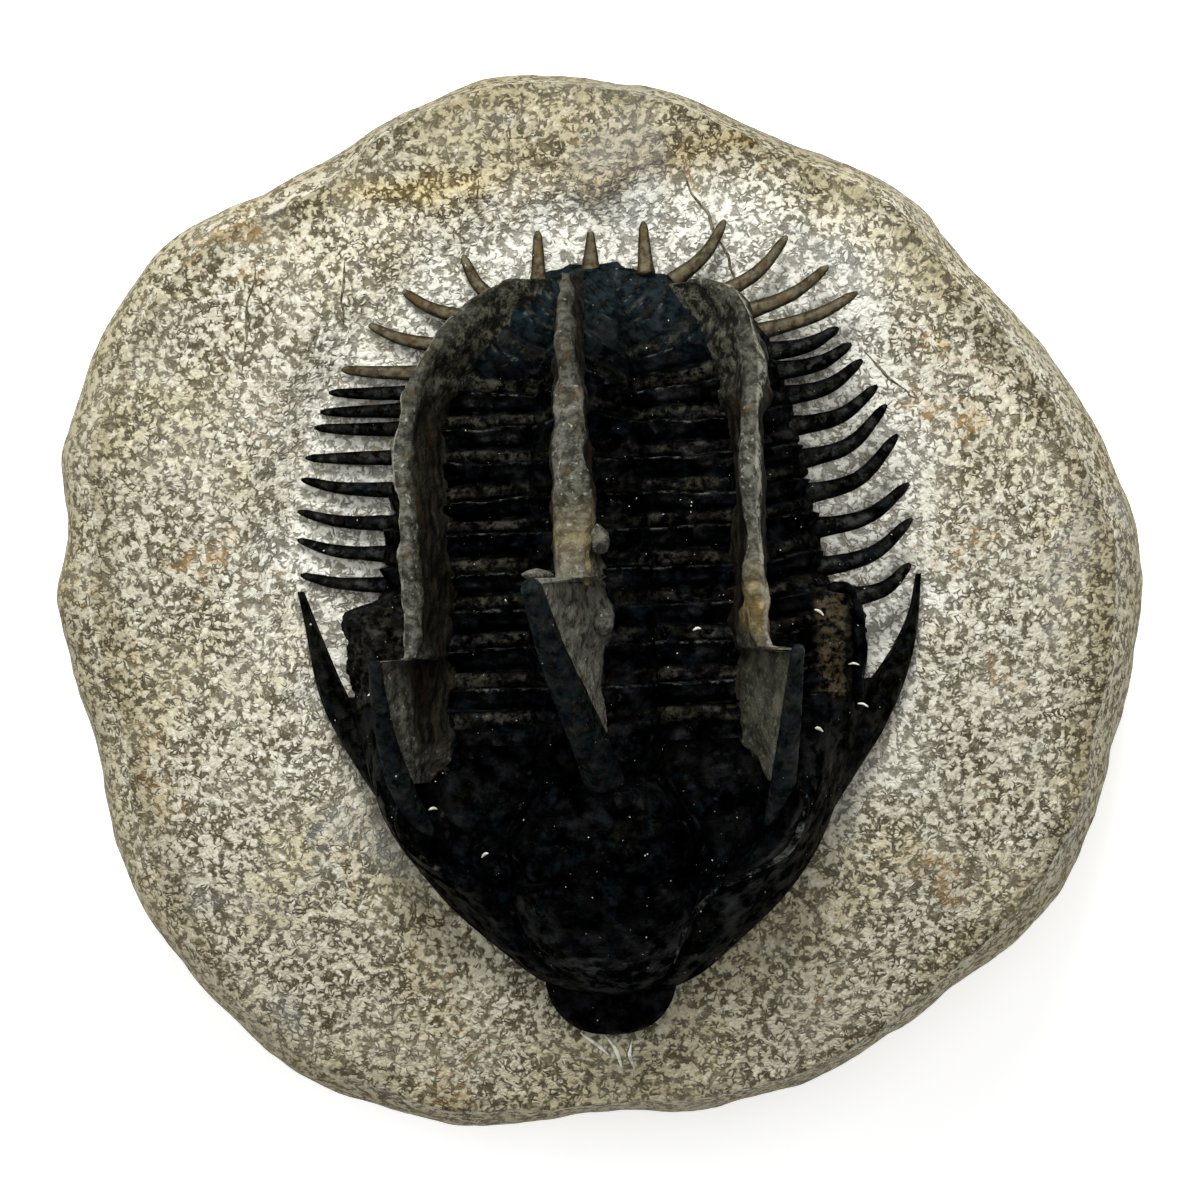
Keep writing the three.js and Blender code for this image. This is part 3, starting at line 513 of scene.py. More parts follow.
def shade(*values):
    """A linear colour from the 0 to 255 values that a screen shows."""
    shares = [value / 255 for value in values]
    return tuple(c / 12.92 if c <= 10 / 255 else ((c + 0.055) / 1.055) ** 2.4 for c in shares) + (1,)


class Nodes:
    """A material with short calls for its nodes. A given input is a socket to link or a value."""

    def __init__(self, name):
        self.material = bpy.data.materials.new(name)
        self.material.use_nodes = True
        self.tree = self.material.node_tree
        self.shader = self.tree.nodes["Principled BSDF"]
        self.place = self.add("ShaderNodeTexCoord").outputs["Object"]

    def put(self, socket, value):
        if isinstance(value, bpy.types.NodeSocket):
            self.tree.links.new(value, socket)
        else:
            socket.default_value = value

    def add(self, kind, inputs=None, **settings):
        node = self.tree.nodes.new(kind)
        for key, value in settings.items():
            setattr(node, key, value)
        for key, value in (inputs or {}).items():
            self.put(node.inputs[key], value)
        return node

    def noise(self, size, detail=2.0, roughness=0.5, distortion=0.0, place=None):
        """Noise from 0 to 1 with features about size millimetres across."""
        inputs = {
            "Vector": place or self.place,
            "Scale": 1 / (size * MM),
            "Detail": detail,
            "Roughness": roughness,
            "Distortion": distortion,
        }
        return self.add("ShaderNodeTexNoise", inputs).outputs["Fac"]

    def patches(self, noise, low, high, to_low=0.0, to_high=1.0):
        """Soft-edged patches where a noise, given by its own inputs, rises from low to high."""
        return self.step(self.noise(*noise), low, high, to_low, to_high)

    def squeezed(self, *scale):
        """The place stretched or squeezed along each axis, for streaks."""
        return self.add("ShaderNodeMapping", {"Vector": self.place, "Scale": scale}).outputs[0]

    def mark(self, name):
        return self.add("ShaderNodeAttribute", attribute_name=name).outputs["Fac"]

    def math(self, operation, a, b=0.0, clamp=False):
        node = self.add("ShaderNodeMath", {0: a, 1: b}, operation=operation, use_clamp=clamp)
        return node.outputs[0]

    def times(self, a, b, clamp=False):
        return self.math("MULTIPLY", a, b, clamp)

    def rest(self, share):
        return self.math("SUBTRACT", 1, share)

    def step(self, value, low, high, to_low=0.0, to_high=1.0):
        """A smooth rise of value from low to high."""
        inputs = {"Value": value, "From Min": low, "From Max": high, "To Min": to_low, "To Max": to_high}
        return self.add("ShaderNodeMapRange", inputs, interpolation_type="SMOOTHSTEP").outputs[0]

    def mix(self, share, a, b, blend_type="MIX"):
        """A share of colour b over colour a, each a socket, 0 to 255 values or a linear colour."""
        node = self.add("ShaderNodeMix", data_type="RGBA", blend_type=blend_type)
        self.put(node.inputs[0], share)
        for number, colour in ((6, a), (7, b)):
            of_screen = isinstance(colour, tuple) and len(colour) == 3
            self.put(node.inputs[number], shade(*colour) if of_screen else colour)
        return node.outputs[2]

    def coats(self, colour, *coats):
        """Coats of colour laid one after another, each with the share that it covers."""
        for share, coat in coats:
            colour = self.mix(share, colour, coat)
        return colour

    def finish(self, colour, roughness, height, depth, specular):
        """Sets the shader; height is a 0 to 1 field that stands depth millimetres tall."""
        self.put(self.shader.inputs["Base Color"], colour)
        self.put(self.shader.inputs["Roughness"], roughness)
        self.put(self.shader.inputs["Specular IOR Level"], specular)
        inputs = {"Height": height, "Distance": depth * MM, "Strength": 1.0}
        relief = self.add("ShaderNodeBump", inputs)
        self.put(self.shader.inputs["Normal"], relief.outputs["Normal"])
        return self.material


def limestone_material():
    """Pale lumps with dark olive gaps, tinted in patches, cleaner in the hollow and browner at the side,
    darkened with painted shade towards the front and darker towards the left, the tail end and the rim.
    """
    n = Nodes("limestone")
    hollow, side, ledge = n.mark("hollow"), n.mark("side"), n.mark("ledge")
    wander = {"Vector": n.place, "Scale": BEND_SCALE, "Detail": 1.0}
    wander = n.add("ShaderNodeTexNoise", wander).outputs["Color"]
    bent = n.add("ShaderNodeVectorMath", {0: wander, 1: (BEND,) * 3}, operation="MULTIPLY").outputs[0]
    bent = n.add("ShaderNodeVectorMath", {0: n.place, 1: bent}, operation="ADD").outputs[0]
    cells = {"Vector": bent, "Scale": LUMP_SCALE}
    cell = n.add("ShaderNodeTexVoronoi", cells, feature="DISTANCE_TO_EDGE").outputs[0]
    width = n.patches((0.7, 2, 0.6), 0.38, 0.64, -0.08, 0.14)
    gap = n.rest(n.step(n.math("SUBTRACT", cell, width), -0.03, 0.09))
    curl = n.math("ABSOLUTE", n.math("SUBTRACT", n.noise(0.75, 1.5, 0.5, 0.5), 0.5))
    curl = n.times(n.rest(n.step(curl, 0.03, 0.09)), n.patches((0.7, 2, 0.5), 0.38, 0.54))
    crowd = n.patches((4.5, 2, 0.5), 0.35, 0.6, 0.78, 0.95)
    dark_share = n.times(n.math("MAXIMUM", gap, n.times(curl, 0.9)), crowd)
    dark = n.coats(
        (64, 54, 28),
        (n.patches((12, 3), 0.42, 0.6), (74, 68, 50)),
        (n.patches((0.5, 2), 0.45, 0.7), (104, 96, 70)),
        (side, (84, 74, 46)),
        (ledge, (80, 62, 26)),
    )
    cream = n.mix(n.patches((11, 3), 0.42, 0.62), (208, 205, 186), (206, 198, 168))
    cream = n.mix(n.patches((0.5, 3, 0.6), 0.36, 0.62, 0.55, 0.0), cream, (168, 161, 136))
    cream = n.coats(
        cream,
        (n.patches((0.6, 2, 0.5), 0.55, 0.68, 0.0, 0.6), (232, 231, 220)),
        (n.times(side, 0.75), (170, 161, 130)),
        (n.times(ledge, 0.8), (198, 180, 126)),
        (n.times(hollow, 0.85), (236, 235, 224)),
    )
    rust = n.times(n.patches((7.5, 3, 0.6, 0.6), 0.58, 0.74), n.patches((0.9, 2), 0.4, 0.6))
    blue = n.step(n.noise(10, 2, 0.5, 0.4, place=n.squeezed(1, 1, 0.7)), 0.56, 0.7)
    colour = n.coats(
        cream,
        (n.times(dark_share, n.rest(n.times(hollow, 0.2))), dark),
        (n.times(rust, 0.5), (178, 138, 78)),
        (n.times(blue, 0.3), (150, 155, 160)),
    )
    # Painted shade: the top darkens towards the front, which faces away from the light. It also darkens
    # towards the left, towards the tail end and at the rim.
    across = n.add("ShaderNodeSeparateXYZ", {0: n.place}).outputs
    front = n.step(across["Y"], -38 * MM, -4 * MM, 0.5, 0.0)
    left = n.step(across["X"], -42 * MM, -22 * MM, 0.35, 0.0)
    tail = n.step(across["Y"], 30 * MM, 34 * MM, 0.0, 0.5)
    painted_shade_and_darkening = n.math("MAXIMUM", n.math("MAXIMUM", front, left), n.math("MAXIMUM", tail, n.mark("rim")))
    colour = n.mix(painted_shade_and_darkening, colour, (192, 186, 168), "MULTIPLY")
    dome = n.math("MINIMUM", n.times(cell, 2.4), 1)
    height = n.math("ADD", n.times(dome, 0.45), n.times(n.noise(0.45, 3, 0.6), 0.55))
    height = n.math("SUBTRACT", height, n.times(dark_share, 0.3))
    return n.finish(colour, 0.92, height, 0.22, 0.25)


def shell_material(name, brown=False):
    """Black fossil shell: blue-black and grey in patches, dusty in its furrows, with a painted highlight
    where the edge mark is set, on the ribs' rear edges, the eye rims and the spines.
    """
    n = Nodes(name)
    dust = n.mark("dust")
    black = n.coats(
        (0, 0, 0),
        (n.patches((3, 3, 0.6), 0.4, 0.62), (2, 2, 2)),
        (n.patches((1.3, 5, 0.7), 0.5, 0.68), (8, 14, 17)),
        (n.patches((1.1, 5, 0.72), 0.61, 0.76), (42, 44, 40)),
    )
    if brown:
        bark = n.coats(
            (58, 49, 34),
            (n.patches((0.7, 4, 0.65), 0.36, 0.66), (116, 107, 84)),
            (n.patches((2.2, 3), 0.52, 0.66, 0.0, 0.7), (92, 73, 48)),
            # Painted shade: the brown darkens away from the spine's top, the crown mark.
            (n.step(n.mark("crown"), 0.15, 0.75, 0.75, 0.0), (30, 25, 17)),
        )
        black = n.mix(n.mark("tail"), black, bark)
    else:
        blue = n.times(n.mark("tail"), n.patches((0.9, 4, 0.65), 0.4, 0.6, 0.6, 3.2))
        black = n.mix(blue, black, (30, 40, 44))
    mottle = n.patches((0.7, 5, 0.72), 0.42, 0.62)
    dusty = n.mix(n.patches((1.5, 4, 0.65), 0.38, 0.66), (22, 19, 13), (66, 65, 56))
    highlight_spots = n.patches((0.9, 4, 0.7), 0.49, 0.66)
    specks = n.patches((0.34, 1, 0.5), 0.775, 0.8)
    colour = n.coats(
        black,
        (n.times(dust, mottle, clamp=True), dusty),
        (n.times(n.mark("rust"), mottle, clamp=True), (74, 64, 46)),
        # The edge mark is a painted highlight, pale where light would catch an edge, broken up in spots.
        (n.times(n.mark("edge"), highlight_spots, clamp=True), (98, 101, 96)),
        (specks, (190, 192, 182)),
    )
    gloss = n.patches((1.4, 3, 0.6), 0.35, 0.65, 0.4, 0.66)
    sheen = n.patches((1.7, 4, 0.65), 0.42, 0.7, 0.0, 0.075)
    height = n.math("ADD", n.times(n.noise(0.5, 4, 0.65), 0.65), n.times(specks, 0.5))
    return n.finish(colour, n.math("ADD", gloss, n.times(dust, 0.3)), height, 0.16, sheen)


def wall_material():
    """Grey-brown rock left by the tool: pale tops that are partly a painted highlight, dark streaked faces
    that are partly painted shade, ochre and even grey patches.
    """
    n = Nodes("wall_rock")
    streaks = n.noise(1, 4, 0.65, place=n.squeezed(1.2, 0.3, 1.2))
    stains = n.noise(2.2, 4, 0.65, place=n.squeezed(1, 0.5, 1))
    rubble = n.mix(n.patches((0.9, 5, 0.75), 0.44, 0.62), (20, 20, 16), (84, 83, 70))
    even = n.coats(
        (46, 47, 38),
        (n.patches((2.2, 4, 0.6), 0.35, 0.65), (88, 88, 74)),
        (n.patches((0.35, 2), 0.5, 0.66, 0.0, 0.6), (104, 104, 92)),
    )
    yellow = n.mix(n.patches((1, 5, 0.7), 0.42, 0.6), (96, 80, 48), (150, 136, 98))
    pale = n.coats(
        (46, 45, 38),
        (n.patches((0.8, 5, 0.7), 0.38, 0.64), (102, 102, 92)),
        (n.patches((0.45, 2), 0.62, 0.74), (150, 148, 134)),
        (n.times(n.patches((2.4, 4, 0.65), 0.56, 0.7), 0.5), (104, 86, 54)),
        (n.mark("ochre"), yellow),
    )
    # The dark base is the rock's own dark brown deepened into painted shade. The pale rock that the crest
    # mark lays on the tops is partly a painted highlight.
    colour = n.coats(
        (9, 8, 5),
        (n.step(streaks, 0.38, 0.64), (46, 42, 32)),
        (n.step(stains, 0.54, 0.68), (50, 33, 18)),
        (n.mark("ruin"), rubble),
        (n.mark("web"), even),
        (n.step(n.mark("crest"), 0.15, 0.85), pale),
        # The line mark is a painted highlight.
        (n.times(n.mark("line"), n.patches((0.7, 3, 0.6), 0.4, 0.55)), (142, 140, 126)),
    )
    height = n.math("ADD", n.times(n.noise(0.9, 5, 0.7), 0.6), n.times(n.noise(0.22, 2), 0.4))
    return n.finish(colour, 0.9, height, 0.3, 0.08)


def speck_material(name, one, other):
    """Fine grains of two colours, for the cracks' filling and the white fibres."""
    n = Nodes(name)
    grain = n.noise(0.5, 3, 0.6)
    return n.finish(n.mix(n.step(grain, 0.4, 0.6), one, other), 0.9, grain, 0.05, 0.2)


def floor_material():
    """Plain white with a soft glow."""
    n = Nodes("floor_white")
    n.shader.inputs["Emission Color"].default_value = (1, 1, 1, 1)
    n.shader.inputs["Emission Strength"].default_value = FLOOR_GLOW
    grain = n.noise(6, 2)
    tone = n.mix(grain, FLOOR_WHITE, tuple(c * 0.985 for c in FLOOR_WHITE[:3]) + (1,))
    return n.finish(tone, 0.9, grain, 0.01, 0.2)


# The stone


def spline_reach(points):
    """Distance from the stone's centre to its outline, by bearing."""
    offsets = np.array(points) - STONE_CENTRE
    bearings = np.unwrap(np.arctan2(offsets[:, 1], offsets[:, 0]))
    reaches = np.hypot(offsets[:, 0], offsets[:, 1])
    turns = np.concatenate([bearings - 2 * math.pi, bearings, bearings + 2 * math.pi])
    curve = through(np.stack([turns, np.tile(reaches, 3)], -1))
    return lambda bearing: curve(np.mod(bearing - bearings[0], 2 * math.pi) + bearings[0])


def line_reach(points, bearing):
    """Distance from the stone's centre to the farthest crossing of a chain of lines, by bearing."""
    chain = np.array(points) - STONE_CENTRE
    dx, dy = np.cos(bearing), np.sin(bearing)
    far = np.zeros_like(bearing)
    for (ax, ay), (bx, by) in zip(chain[:-1], chain[1:]):
        ex, ey = bx - ax, by - ay
        cross = dx * ey - dy * ex
        cross = np.where(np.abs(cross) < 1e-9, 1e-9, cross)
        along = (ax * ey - ay * ex) / cross
        share = (ax * dy - ay * dx) / cross
        hit = (along > 0) & (share >= -1e-6) & (share <= 1 + 1e-6)
        far = np.where(hit, np.maximum(far, along), far)
    return far


def fossil_outline(extra):
    """The fossil's outline on the stone without its spines, wider all round by extra."""
    front = SNOUT["front"] - extra
    v = np.linspace(front, TAIL_END + extra, 160)
    in_snout = v < SNOUT["back"]
    nose = (v - SNOUT["back"]) / (front - SNOUT["back"])
    ahead = np.where(in_snout, (SNOUT["half"] + extra) * np.sqrt(np.maximum(1 - nose**2, 0)), 0)
    bowed = v - head_bow(v)
    in_head = (v > HEAD_FRONT - extra) & (bowed < HEAD_BACK + extra)
    cheek = np.where(in_head, head_half(bowed) + extra * 1.4, 0)
    half = np.maximum.reduce([ahead, cheek, np.where(v > 0, margin(v) + extra, 0), np.full_like(v, 0.6)])
    shift = np.where(in_snout, SNOUT["u"], 0)
    edges = [way * half * (1 + way * tail_skew(v)) + shift for way in (1, -1)]
    right, left = [in_world(u, v, MARGIN_HEIGHT)[:, :2] for u in edges]
    return np.concatenate([right, left[::-1], right[:1]])


def stone_reaches(bearing, widest):
    """Reach of the hollow's floor, the hollow's rim, the ledge and the top face, by bearing."""
    face = widest - lerp(1.5, 3, np.cos(bearing) ** 2)
    turned = np.where(bearing > math.pi, bearing - 2 * math.pi, bearing)
    tail = HOLLOW_TAIL_EXTRA * bump(turned, math.radians(52), math.radians(20))
    hollow = np.maximum(HOLLOW_RADIUS + tail, line_reach(fossil_outline(POCKET_GAP), bearing))
    ledge_x = np.linspace(LEDGE_LINE[0][0], LEDGE_LINE[-1][0], 40)
    ledge = line_reach(spots(ledge_x, through(LEDGE_LINE)(ledge_x)), bearing)
    ledge = np.where(ledge > HOLLOW_RADIUS, ledge, NO_LEDGE)
    rim = np.minimum(np.minimum(hollow + HOLLOW_SLOPE, face - 2), ledge - 0.5)
    return np.minimum(hollow, rim - 0.8), rim, ledge, face


def from_centre(radius, bearing):
    return STONE_CENTRE[0] + radius * np.cos(bearing), STONE_CENTRE[1] + radius * np.sin(bearing)


def stone_top(bearing, reaches, radius, ragged):
    """The dressed top with its ledge, its hollow and the rim round the snout's tip."""
    hollow, rim, ledge, face = reaches
    x, y = from_centre(radius, bearing)
    past_ledge = ease(radius - ledge + ragged * 1.2, -2, 2.6)
    step = np.where(ledge < NO_LEDGE, ledge_rise(x) * past_ledge, 0)
    dressed = FACE_HEIGHT + FACE_TILT * x - FACE_FALL * (radius / face) ** 3 + step
    up = ease(radius + ragged * 0.5, hollow - 1.2, rim + 1)
    z = lerp(floor_at(x), dressed, up)
    spoon = in_world(SNOUT["u"], SNOUT["back"], 0)
    from_spoon = np.hypot((x - spoon[0]) / SNOUT_RIM[0], (y - spoon[1]) / SNOUT_RIM[1])
    z += 0.4 * bump(from_spoon, 1, 0.13) * ease(spoon[1] - y, 0.5, 3) * (0.8 + 0.4 * ragged)
    return spots(x, y, z)


def stone_side(bearing, widest, face, edge_height, turns):
    """The rounded side, from the edge of the top down to the flat base."""
    base = widest * BASE_SHARE
    radii = spots(face, widest - 0.5, widest, lerp(widest, base, 0.4), base)
    heights = spots(edge_height, *SIDE_HEIGHTS)
    radius, height = [np.stack([evenly(row, turns) for row in rows], -1) for rows in (radii, heights)]
    return spots(*from_centre(radius, bearing), height)


def stone():
    """The nodule. Gives back the points of its top."""
    bearing = np.linspace(0, 2 * math.pi, STONE_BEARINGS, endpoint=False)
    widest = spline_reach(STONE_EDGE)(bearing)
    reaches = stone_reaches(bearing, widest)
    hollow, rim, ledge, face = reaches
    inner = np.concatenate([np.linspace(0.04, 0.48, 6), np.linspace(0.5, 1, 36)])[:, None] * hollow
    slope = lerp(hollow, rim, np.linspace(0, 1, 9)[1:, None])
    outer = lerp(rim, face, np.linspace(0, 1, 41)[1:, None])
    radius = np.concatenate([inner, slope, outer])
    ragged = rough(spots(*from_centre(radius, bearing), 0), 3.2, 40, 4)
    top = stone_top(bearing, reaches, radius, ragged)
    turns = np.linspace(0, 4, 38)[1:]
    side = stone_side(bearing, widest, face, top[-1, :, 2], turns)

    def on_top(mark):
        return np.concatenate([mark, side[..., 0] * 0])

    rounded = ease(turns, 0, 0.9)[:, None] + side[..., 0] * 0
    side_mark = np.concatenate([top[..., 0] * 0, rounded])
    crust = bump(radius - ledge + ragged * 0.8, 0.2, 1.3)
    crust = on_top(crust * ease(ledge_rise(top[..., 0]), 0.2, 0.8))
    clean = fall(radius + ragged * 2.6, hollow - 4, rim + 2.5)
    marks = {
        "hollow": on_top(clean * ease(top[..., 1], -24, -8)),
        "side": side_mark,
        "ledge": crust,
        "rim": on_top(ease(radius + ragged, face - 3.4, face) * 0.8),
    }
    rings = np.concatenate([top, side])
    out = normals(rings)
    out *= np.sign(out[60, 0, 2])
    height = rough(rings, 7.5, 3, 3) * lerp(0.2, 0.42, side_mark)
    height += rough(rings, 1.3, 9, 3) * lerp(0.11, 0.05, side_mark)
    height += crust * np.abs(rough(rings, 1.7, 21)) * 0.5
    rings = rings + out * (height * ease(rings[..., 2], 0, 2.5))[..., None]
    rings[..., 2] = np.maximum(rings[..., 2], 0)
    stone_piece("stone_nodule", [rings], limestone, marks)
    return rings[:len(top)].reshape(-1, 3)


def on_stone(surface, path, count):
    """A line of flat points laid on the stone's top."""
    t = np.linspace(0, len(path) - 1, count)
    x, y = [evenly(column, t) for column in np.array(path, float).T]
    nearest = [np.argmin((surface[:, 0] - px) ** 2 + (surface[:, 1] - py) ** 2) for px, py in zip(x, y)]
    return spots(x, y, surface[nearest, 2])


def spindle(radius, rings, least, power):
    """Thickness of a rib that swells from its ends to its middle, ring by ring."""
    return radius * np.maximum(np.sin(np.linspace(0, 1, rings) * math.pi), least) ** power


def strand(line, radius, seed):
    """A thin tapered rib along a line of points."""
    return horn(line, spindle(radius, 5 * len(line), 0.15, 0.5), 8, seed, 0.5)


def stone_cracks(surface):
    shells = []
    for number, path in enumerate(CRACKS):
        line = on_stone(surface, path, 6 * len(path))
        line[:, :2] += rough(line, 1.6, 300 + number, 2)[:, None] * 0.25
        shells.append(strand(line, CRACK_RADIUS, 310 + number))
    stone_piece("stone_cracks", shells, crack_fill)


def stone_flecks(surface):
    """White scratches before the snout and short white fibres on and beside the fossil."""
    shells = []
    for number, path in enumerate(SCRATCHES):
        shells.append(strand(on_stone(surface, path, 5) + (0, 0, 0.05), SCRATCH_RADIUS, 330 + number))
    for number, (u, v, w, length, bearing) in enumerate(FLECKS):
        turn = math.radians(bearing)
        half = (length / 2 * math.cos(turn), length / 2 * math.sin(turn))
        us, vs = np.array([(u - half[0], v - half[1]), (u, v + 0.1), (u + half[0], v + half[1])]).T
        height = fossil_top(us, vs) + 0.12 if w is None else w
        shells.append(strand(in_world(us, vs, height), FLECK_RADIUS, 350 + number))
    stone_piece("stone_flecks", shells, fleck_stone)


# The fossil


def furrow(i):
    """Place of the furrow in front of segment i."""
    return FIRST_FURROW + SEGMENT_LENGTH * i - SEGMENT_SHORTENING * i * (i - 1)


FURROWS = [furrow(i) for i in range(SEGMENTS + 1)]
FURROWS += [FURROWS[-1] + TAIL_RIB_LENGTH * (i + 1) for i in range(TAIL_RIBS)]


def segment_place(v, out):
    """How far a point of the back is along its segment, from 0 at the front edge to 1 at the rear edge."""
    axis = axis_half(v)
    bent = v - flank_sweep(v) * ease(out, fulcrum(v), margin(v)) * fall(v, 24, 29)
    bent = bent - tail_arch(v) * np.maximum(1 - out / axis, 0)
    bent = bent - tail_rise(v) * np.maximum(out - axis, 0)
    bent = bent + rough(spots(out * 0.5, v, 0), 2.6, 50, 3) * 0.2
    place = np.interp(bent, FURROWS, np.arange(len(FURROWS)))
    return place - np.floor(place)


def back_height(out, v):
    """Height of the smooth back, from the axis out to the flank's knee."""
    axis, knee = axis_half(v), fulcrum(v)
    inner = pleura_top(v)
    arch = inner + (axis_top(v) - inner) * np.maximum(1 - (out / axis) ** 2, 0) ** 0.4
    rib = inner - FULCRUM_DROP * ((out - axis) / (knee - axis)) ** 2
    return np.where(out <= axis, arch, rib)


def skirted_piece(name, top, marks):
    """A fossil piece from sections of upper points, closed by a flat bottom inside the stone."""
    below = top[:, [-1, 0]].copy()
    below[..., 2] = SKIRT_HEIGHT
    marks = {key: np.concatenate([mark, mark[:, [-1, 0]]], axis=1) for key, mark in marks.items()}
    fossil_piece(name, [np.concatenate([top, below], axis=1)], marks)


def back_relief(v, out, lean, along, spot, block):
    """Height of the ribs and furrows above the smooth back."""
    axis = axis_half(v)
    on_axis = fall(out, axis * 0.9, axis * 1.06)
    relief = lerp(pleura_relief(along), axis_relief(along), on_axis)
    size = lerp(1.15, 0.55, ease(v, 27, 31)) * fall(v, 33.8, 35.3) * ease(v, 0, 1.4)
    relief = relief * size * (1 - 0.55 * ease(lean, 0.75, 1)) * (0.75 + 0.7 * rough(spot, 2.6, 66, 2))
    relief = lerp(relief, rough(spot, 1.5, 68, 3) * 0.45, block)
    groove = bump(out, axis, 0.42) * (0.6 + 0.4 * bump(along, 0.1, 0.3)) * fall(v, 31, 35)
    return relief - 0.42 * groove + rough(spot, 1.7, 60, 4) * 0.24 + lumps(spot, 0.45, 64) * 0.05


def back_marks(side, v, out, lean, along, spot, block):
    """Painted highlights on the ribs' rear edges, dusty front furrows of the ribs, rust on the ruined
    block, blue at the tail.
    """
    axis, knee = axis_half(v), fulcrum(v)
    on_axis = fall(out, axis * 0.9, axis * 1.06)
    inner = lerp(1 - 0.75 * ease(out, knee - 3, knee + 1), 0.4, on_axis)
    # Painted highlight along each rib's rear edge, which faces the light.
    edge = bump(along, 0.965, 0.028) * (0.7 + 0.5 * rough(spot, 2.6, 70, 2)) * inner * (1 - block)
    band = ease(along, 0.02, 0.1) * fall(along, 0.3, 0.42)
    band = band * lerp(0.9, 0.35, ease(lean, 0.1, 0.6)) * lerp(1, 0.5, on_axis)
    return {
        "edge": edge,
        "dust": np.maximum(band, block * 0.5),
        "rust": block * fall(out, 17.9, 18.5) * BLOCK_RUST[side],
        "tail": ease(v, 26, 34) * 0.25 + out * 0,
    }


def fossil_back():
    v = np.linspace(0.1, TAIL_END, BACK_ROWS)[:, None]
    axis, knee, rim = axis_half(v), fulcrum(v), margin(v)
    shares = [np.linspace(0, 1, count)[None] for count in (AXIS_POINTS, RIB_POINTS)]
    across = np.concatenate([shares[0] * axis, lerp(axis, knee, shares[1][:, 1:])], axis=1)
    turn = np.linspace(0, math.pi / 2, FLANK_POINTS)[None, 1:]
    square = squareness(v)
    out = np.concatenate([across, lerp(knee, rim, np.sin(turn) ** (2 / square))], axis=1)
    flank_height = lerp(MARGIN_HEIGHT, pleura_top(v) - FULCRUM_DROP, np.cos(turn) ** (2 / square))
    height = np.concatenate([back_height(across, v), flank_height], axis=1)
    lean = np.concatenate([across * 0, np.sin(turn) + v * 0], axis=1)

    halves, marks = [], []
    for side in (-1, 1):
        along = segment_place(v, out)
        u = side * out * (1 + side * tail_skew(v))
        spot = spots(u, v * 1.3, height)
        block = ease(out, *BLOCK_EDGE[side]) * ease(v, 2, 3.2) * fall(v, 10.2, 11)
        relief = back_relief(v, out, lean, along, spot, block)
        torn = rough(spots(u, 0, 0), 1.6, 74, 2) * ease(v, 30, 34) * ease(lean, 0.3, 1)
        raised = height + relief * np.sqrt(1 - lean**2)
        halves.append(in_world(u + side * relief * lean, v + 0.5 * torn, raised))
        marks.append(back_marks(side, v, out, lean, along, spot, block))

    def joined(left, right):
        return np.concatenate([left[:, :0:-1], right], axis=1)

    values = {key: joined(marks[0][key], marks[1][key]) for key in marks[0]}
    skirted_piece("fossil_back", joined(*halves), values)


def head_bow(v):
    return HEAD_BOW * ease(v, -10, HEAD_BACK)


def head_height(u, v):
    side = np.abs(u)
    edge, lobe, cheek = head_half(v), glabella_half(v), cheek_height(v)
    shelf, ridge = shelf_half(v), shelf_height(v)
    out = np.clip((side - shelf) / np.maximum(edge - shelf, 0.1), 0, 1)
    slope = lerp(MARGIN_HEIGHT, ridge, np.maximum(1 - out**1.7, 0) ** 0.8)
    inside = cheek - 0.8 + (ridge - cheek + 0.8) * bump(np.minimum(side, shelf), shelf - 0.2, 2.1)
    height = np.where(side > shelf, slope, inside)
    dome = lerp(cheek - 1, head_crest(v), np.maximum(1 - (side / lobe) ** 2.6, 0) ** 0.5)
    return np.where(side < lobe, np.maximum(height, dome), height)


def fossil_head():
    v = np.linspace(HEAD_FRONT, HEAD_BACK, HEAD_ROWS)[:, None]
    even = np.linspace(-1, 1, HEAD_POINTS)[None]
    share = np.sin(even * math.pi / 2) * 0.35 + even * 0.65
    edge, lobe = head_half(v), glabella_half(v)
    u = share * edge
    side, height = np.abs(u), head_height(u, v)
    spot = spots(u, v, height)
    relief = -0.35 * bump(side, lobe, 0.6) * ease(v, -15, -11)
    for place, lean, depth in HEAD_GROOVES:
        groove = bump(v + lean * side - place, 0, 0.42) * ease(side, 0.4, lobe * 0.4)
        relief = relief - depth * groove * fall(side, lobe, lobe * 1.15)
    relief = relief - 0.55 * bump(v, -2.5, 0.45) * fall(side, lobe * 0.9, lobe * 1.15)
    relief = relief - 0.25 * bump(side / edge, 0.9, 0.03) * ease(v, -15, -10)
    relief = relief + np.maximum(lumps(spot, 0.62, 80), 0) ** 2 * 0.16 + rough(spot, 2.6, 84) * 0.1
    relief = relief * fall(np.abs(share), 0.96, 1)
    rings = in_world(u, v + head_bow(v) * share**2, height + relief)
    dust = ease(rough(spot, 3.5, 90), 0.1, 0.9) * 0.15 + 0.3 * ease(np.abs(share), 0.9, 1)
    skirted_piece("fossil_head", rings, {"dust": dust})


def fossil_snout():
    turn = (np.linspace(0, 1, 40) ** 0.8 * (math.pi / 2) * 0.985)[:, None]
    v = lerp(SNOUT["back"], SNOUT["front"], np.sin(turn))
    share = np.linspace(-1, 1, 61)[None]
    height = lerp(MARGIN_HEIGHT, SNOUT["height"], (1 - share**2) ** 0.8 * np.cos(turn) ** 0.5)
    u = SNOUT["u"] + share * SNOUT["half"] * np.cos(turn) ** 0.8
    height = height + rough(spots(u, v, height), 1.4, 95) * 0.1 * (1 - share**8)
    dust = np.abs(share) ** 6 * 0.3 + u * 0
    skirted_piece("fossil_snout", in_world(u, v, height), {"dust": dust})


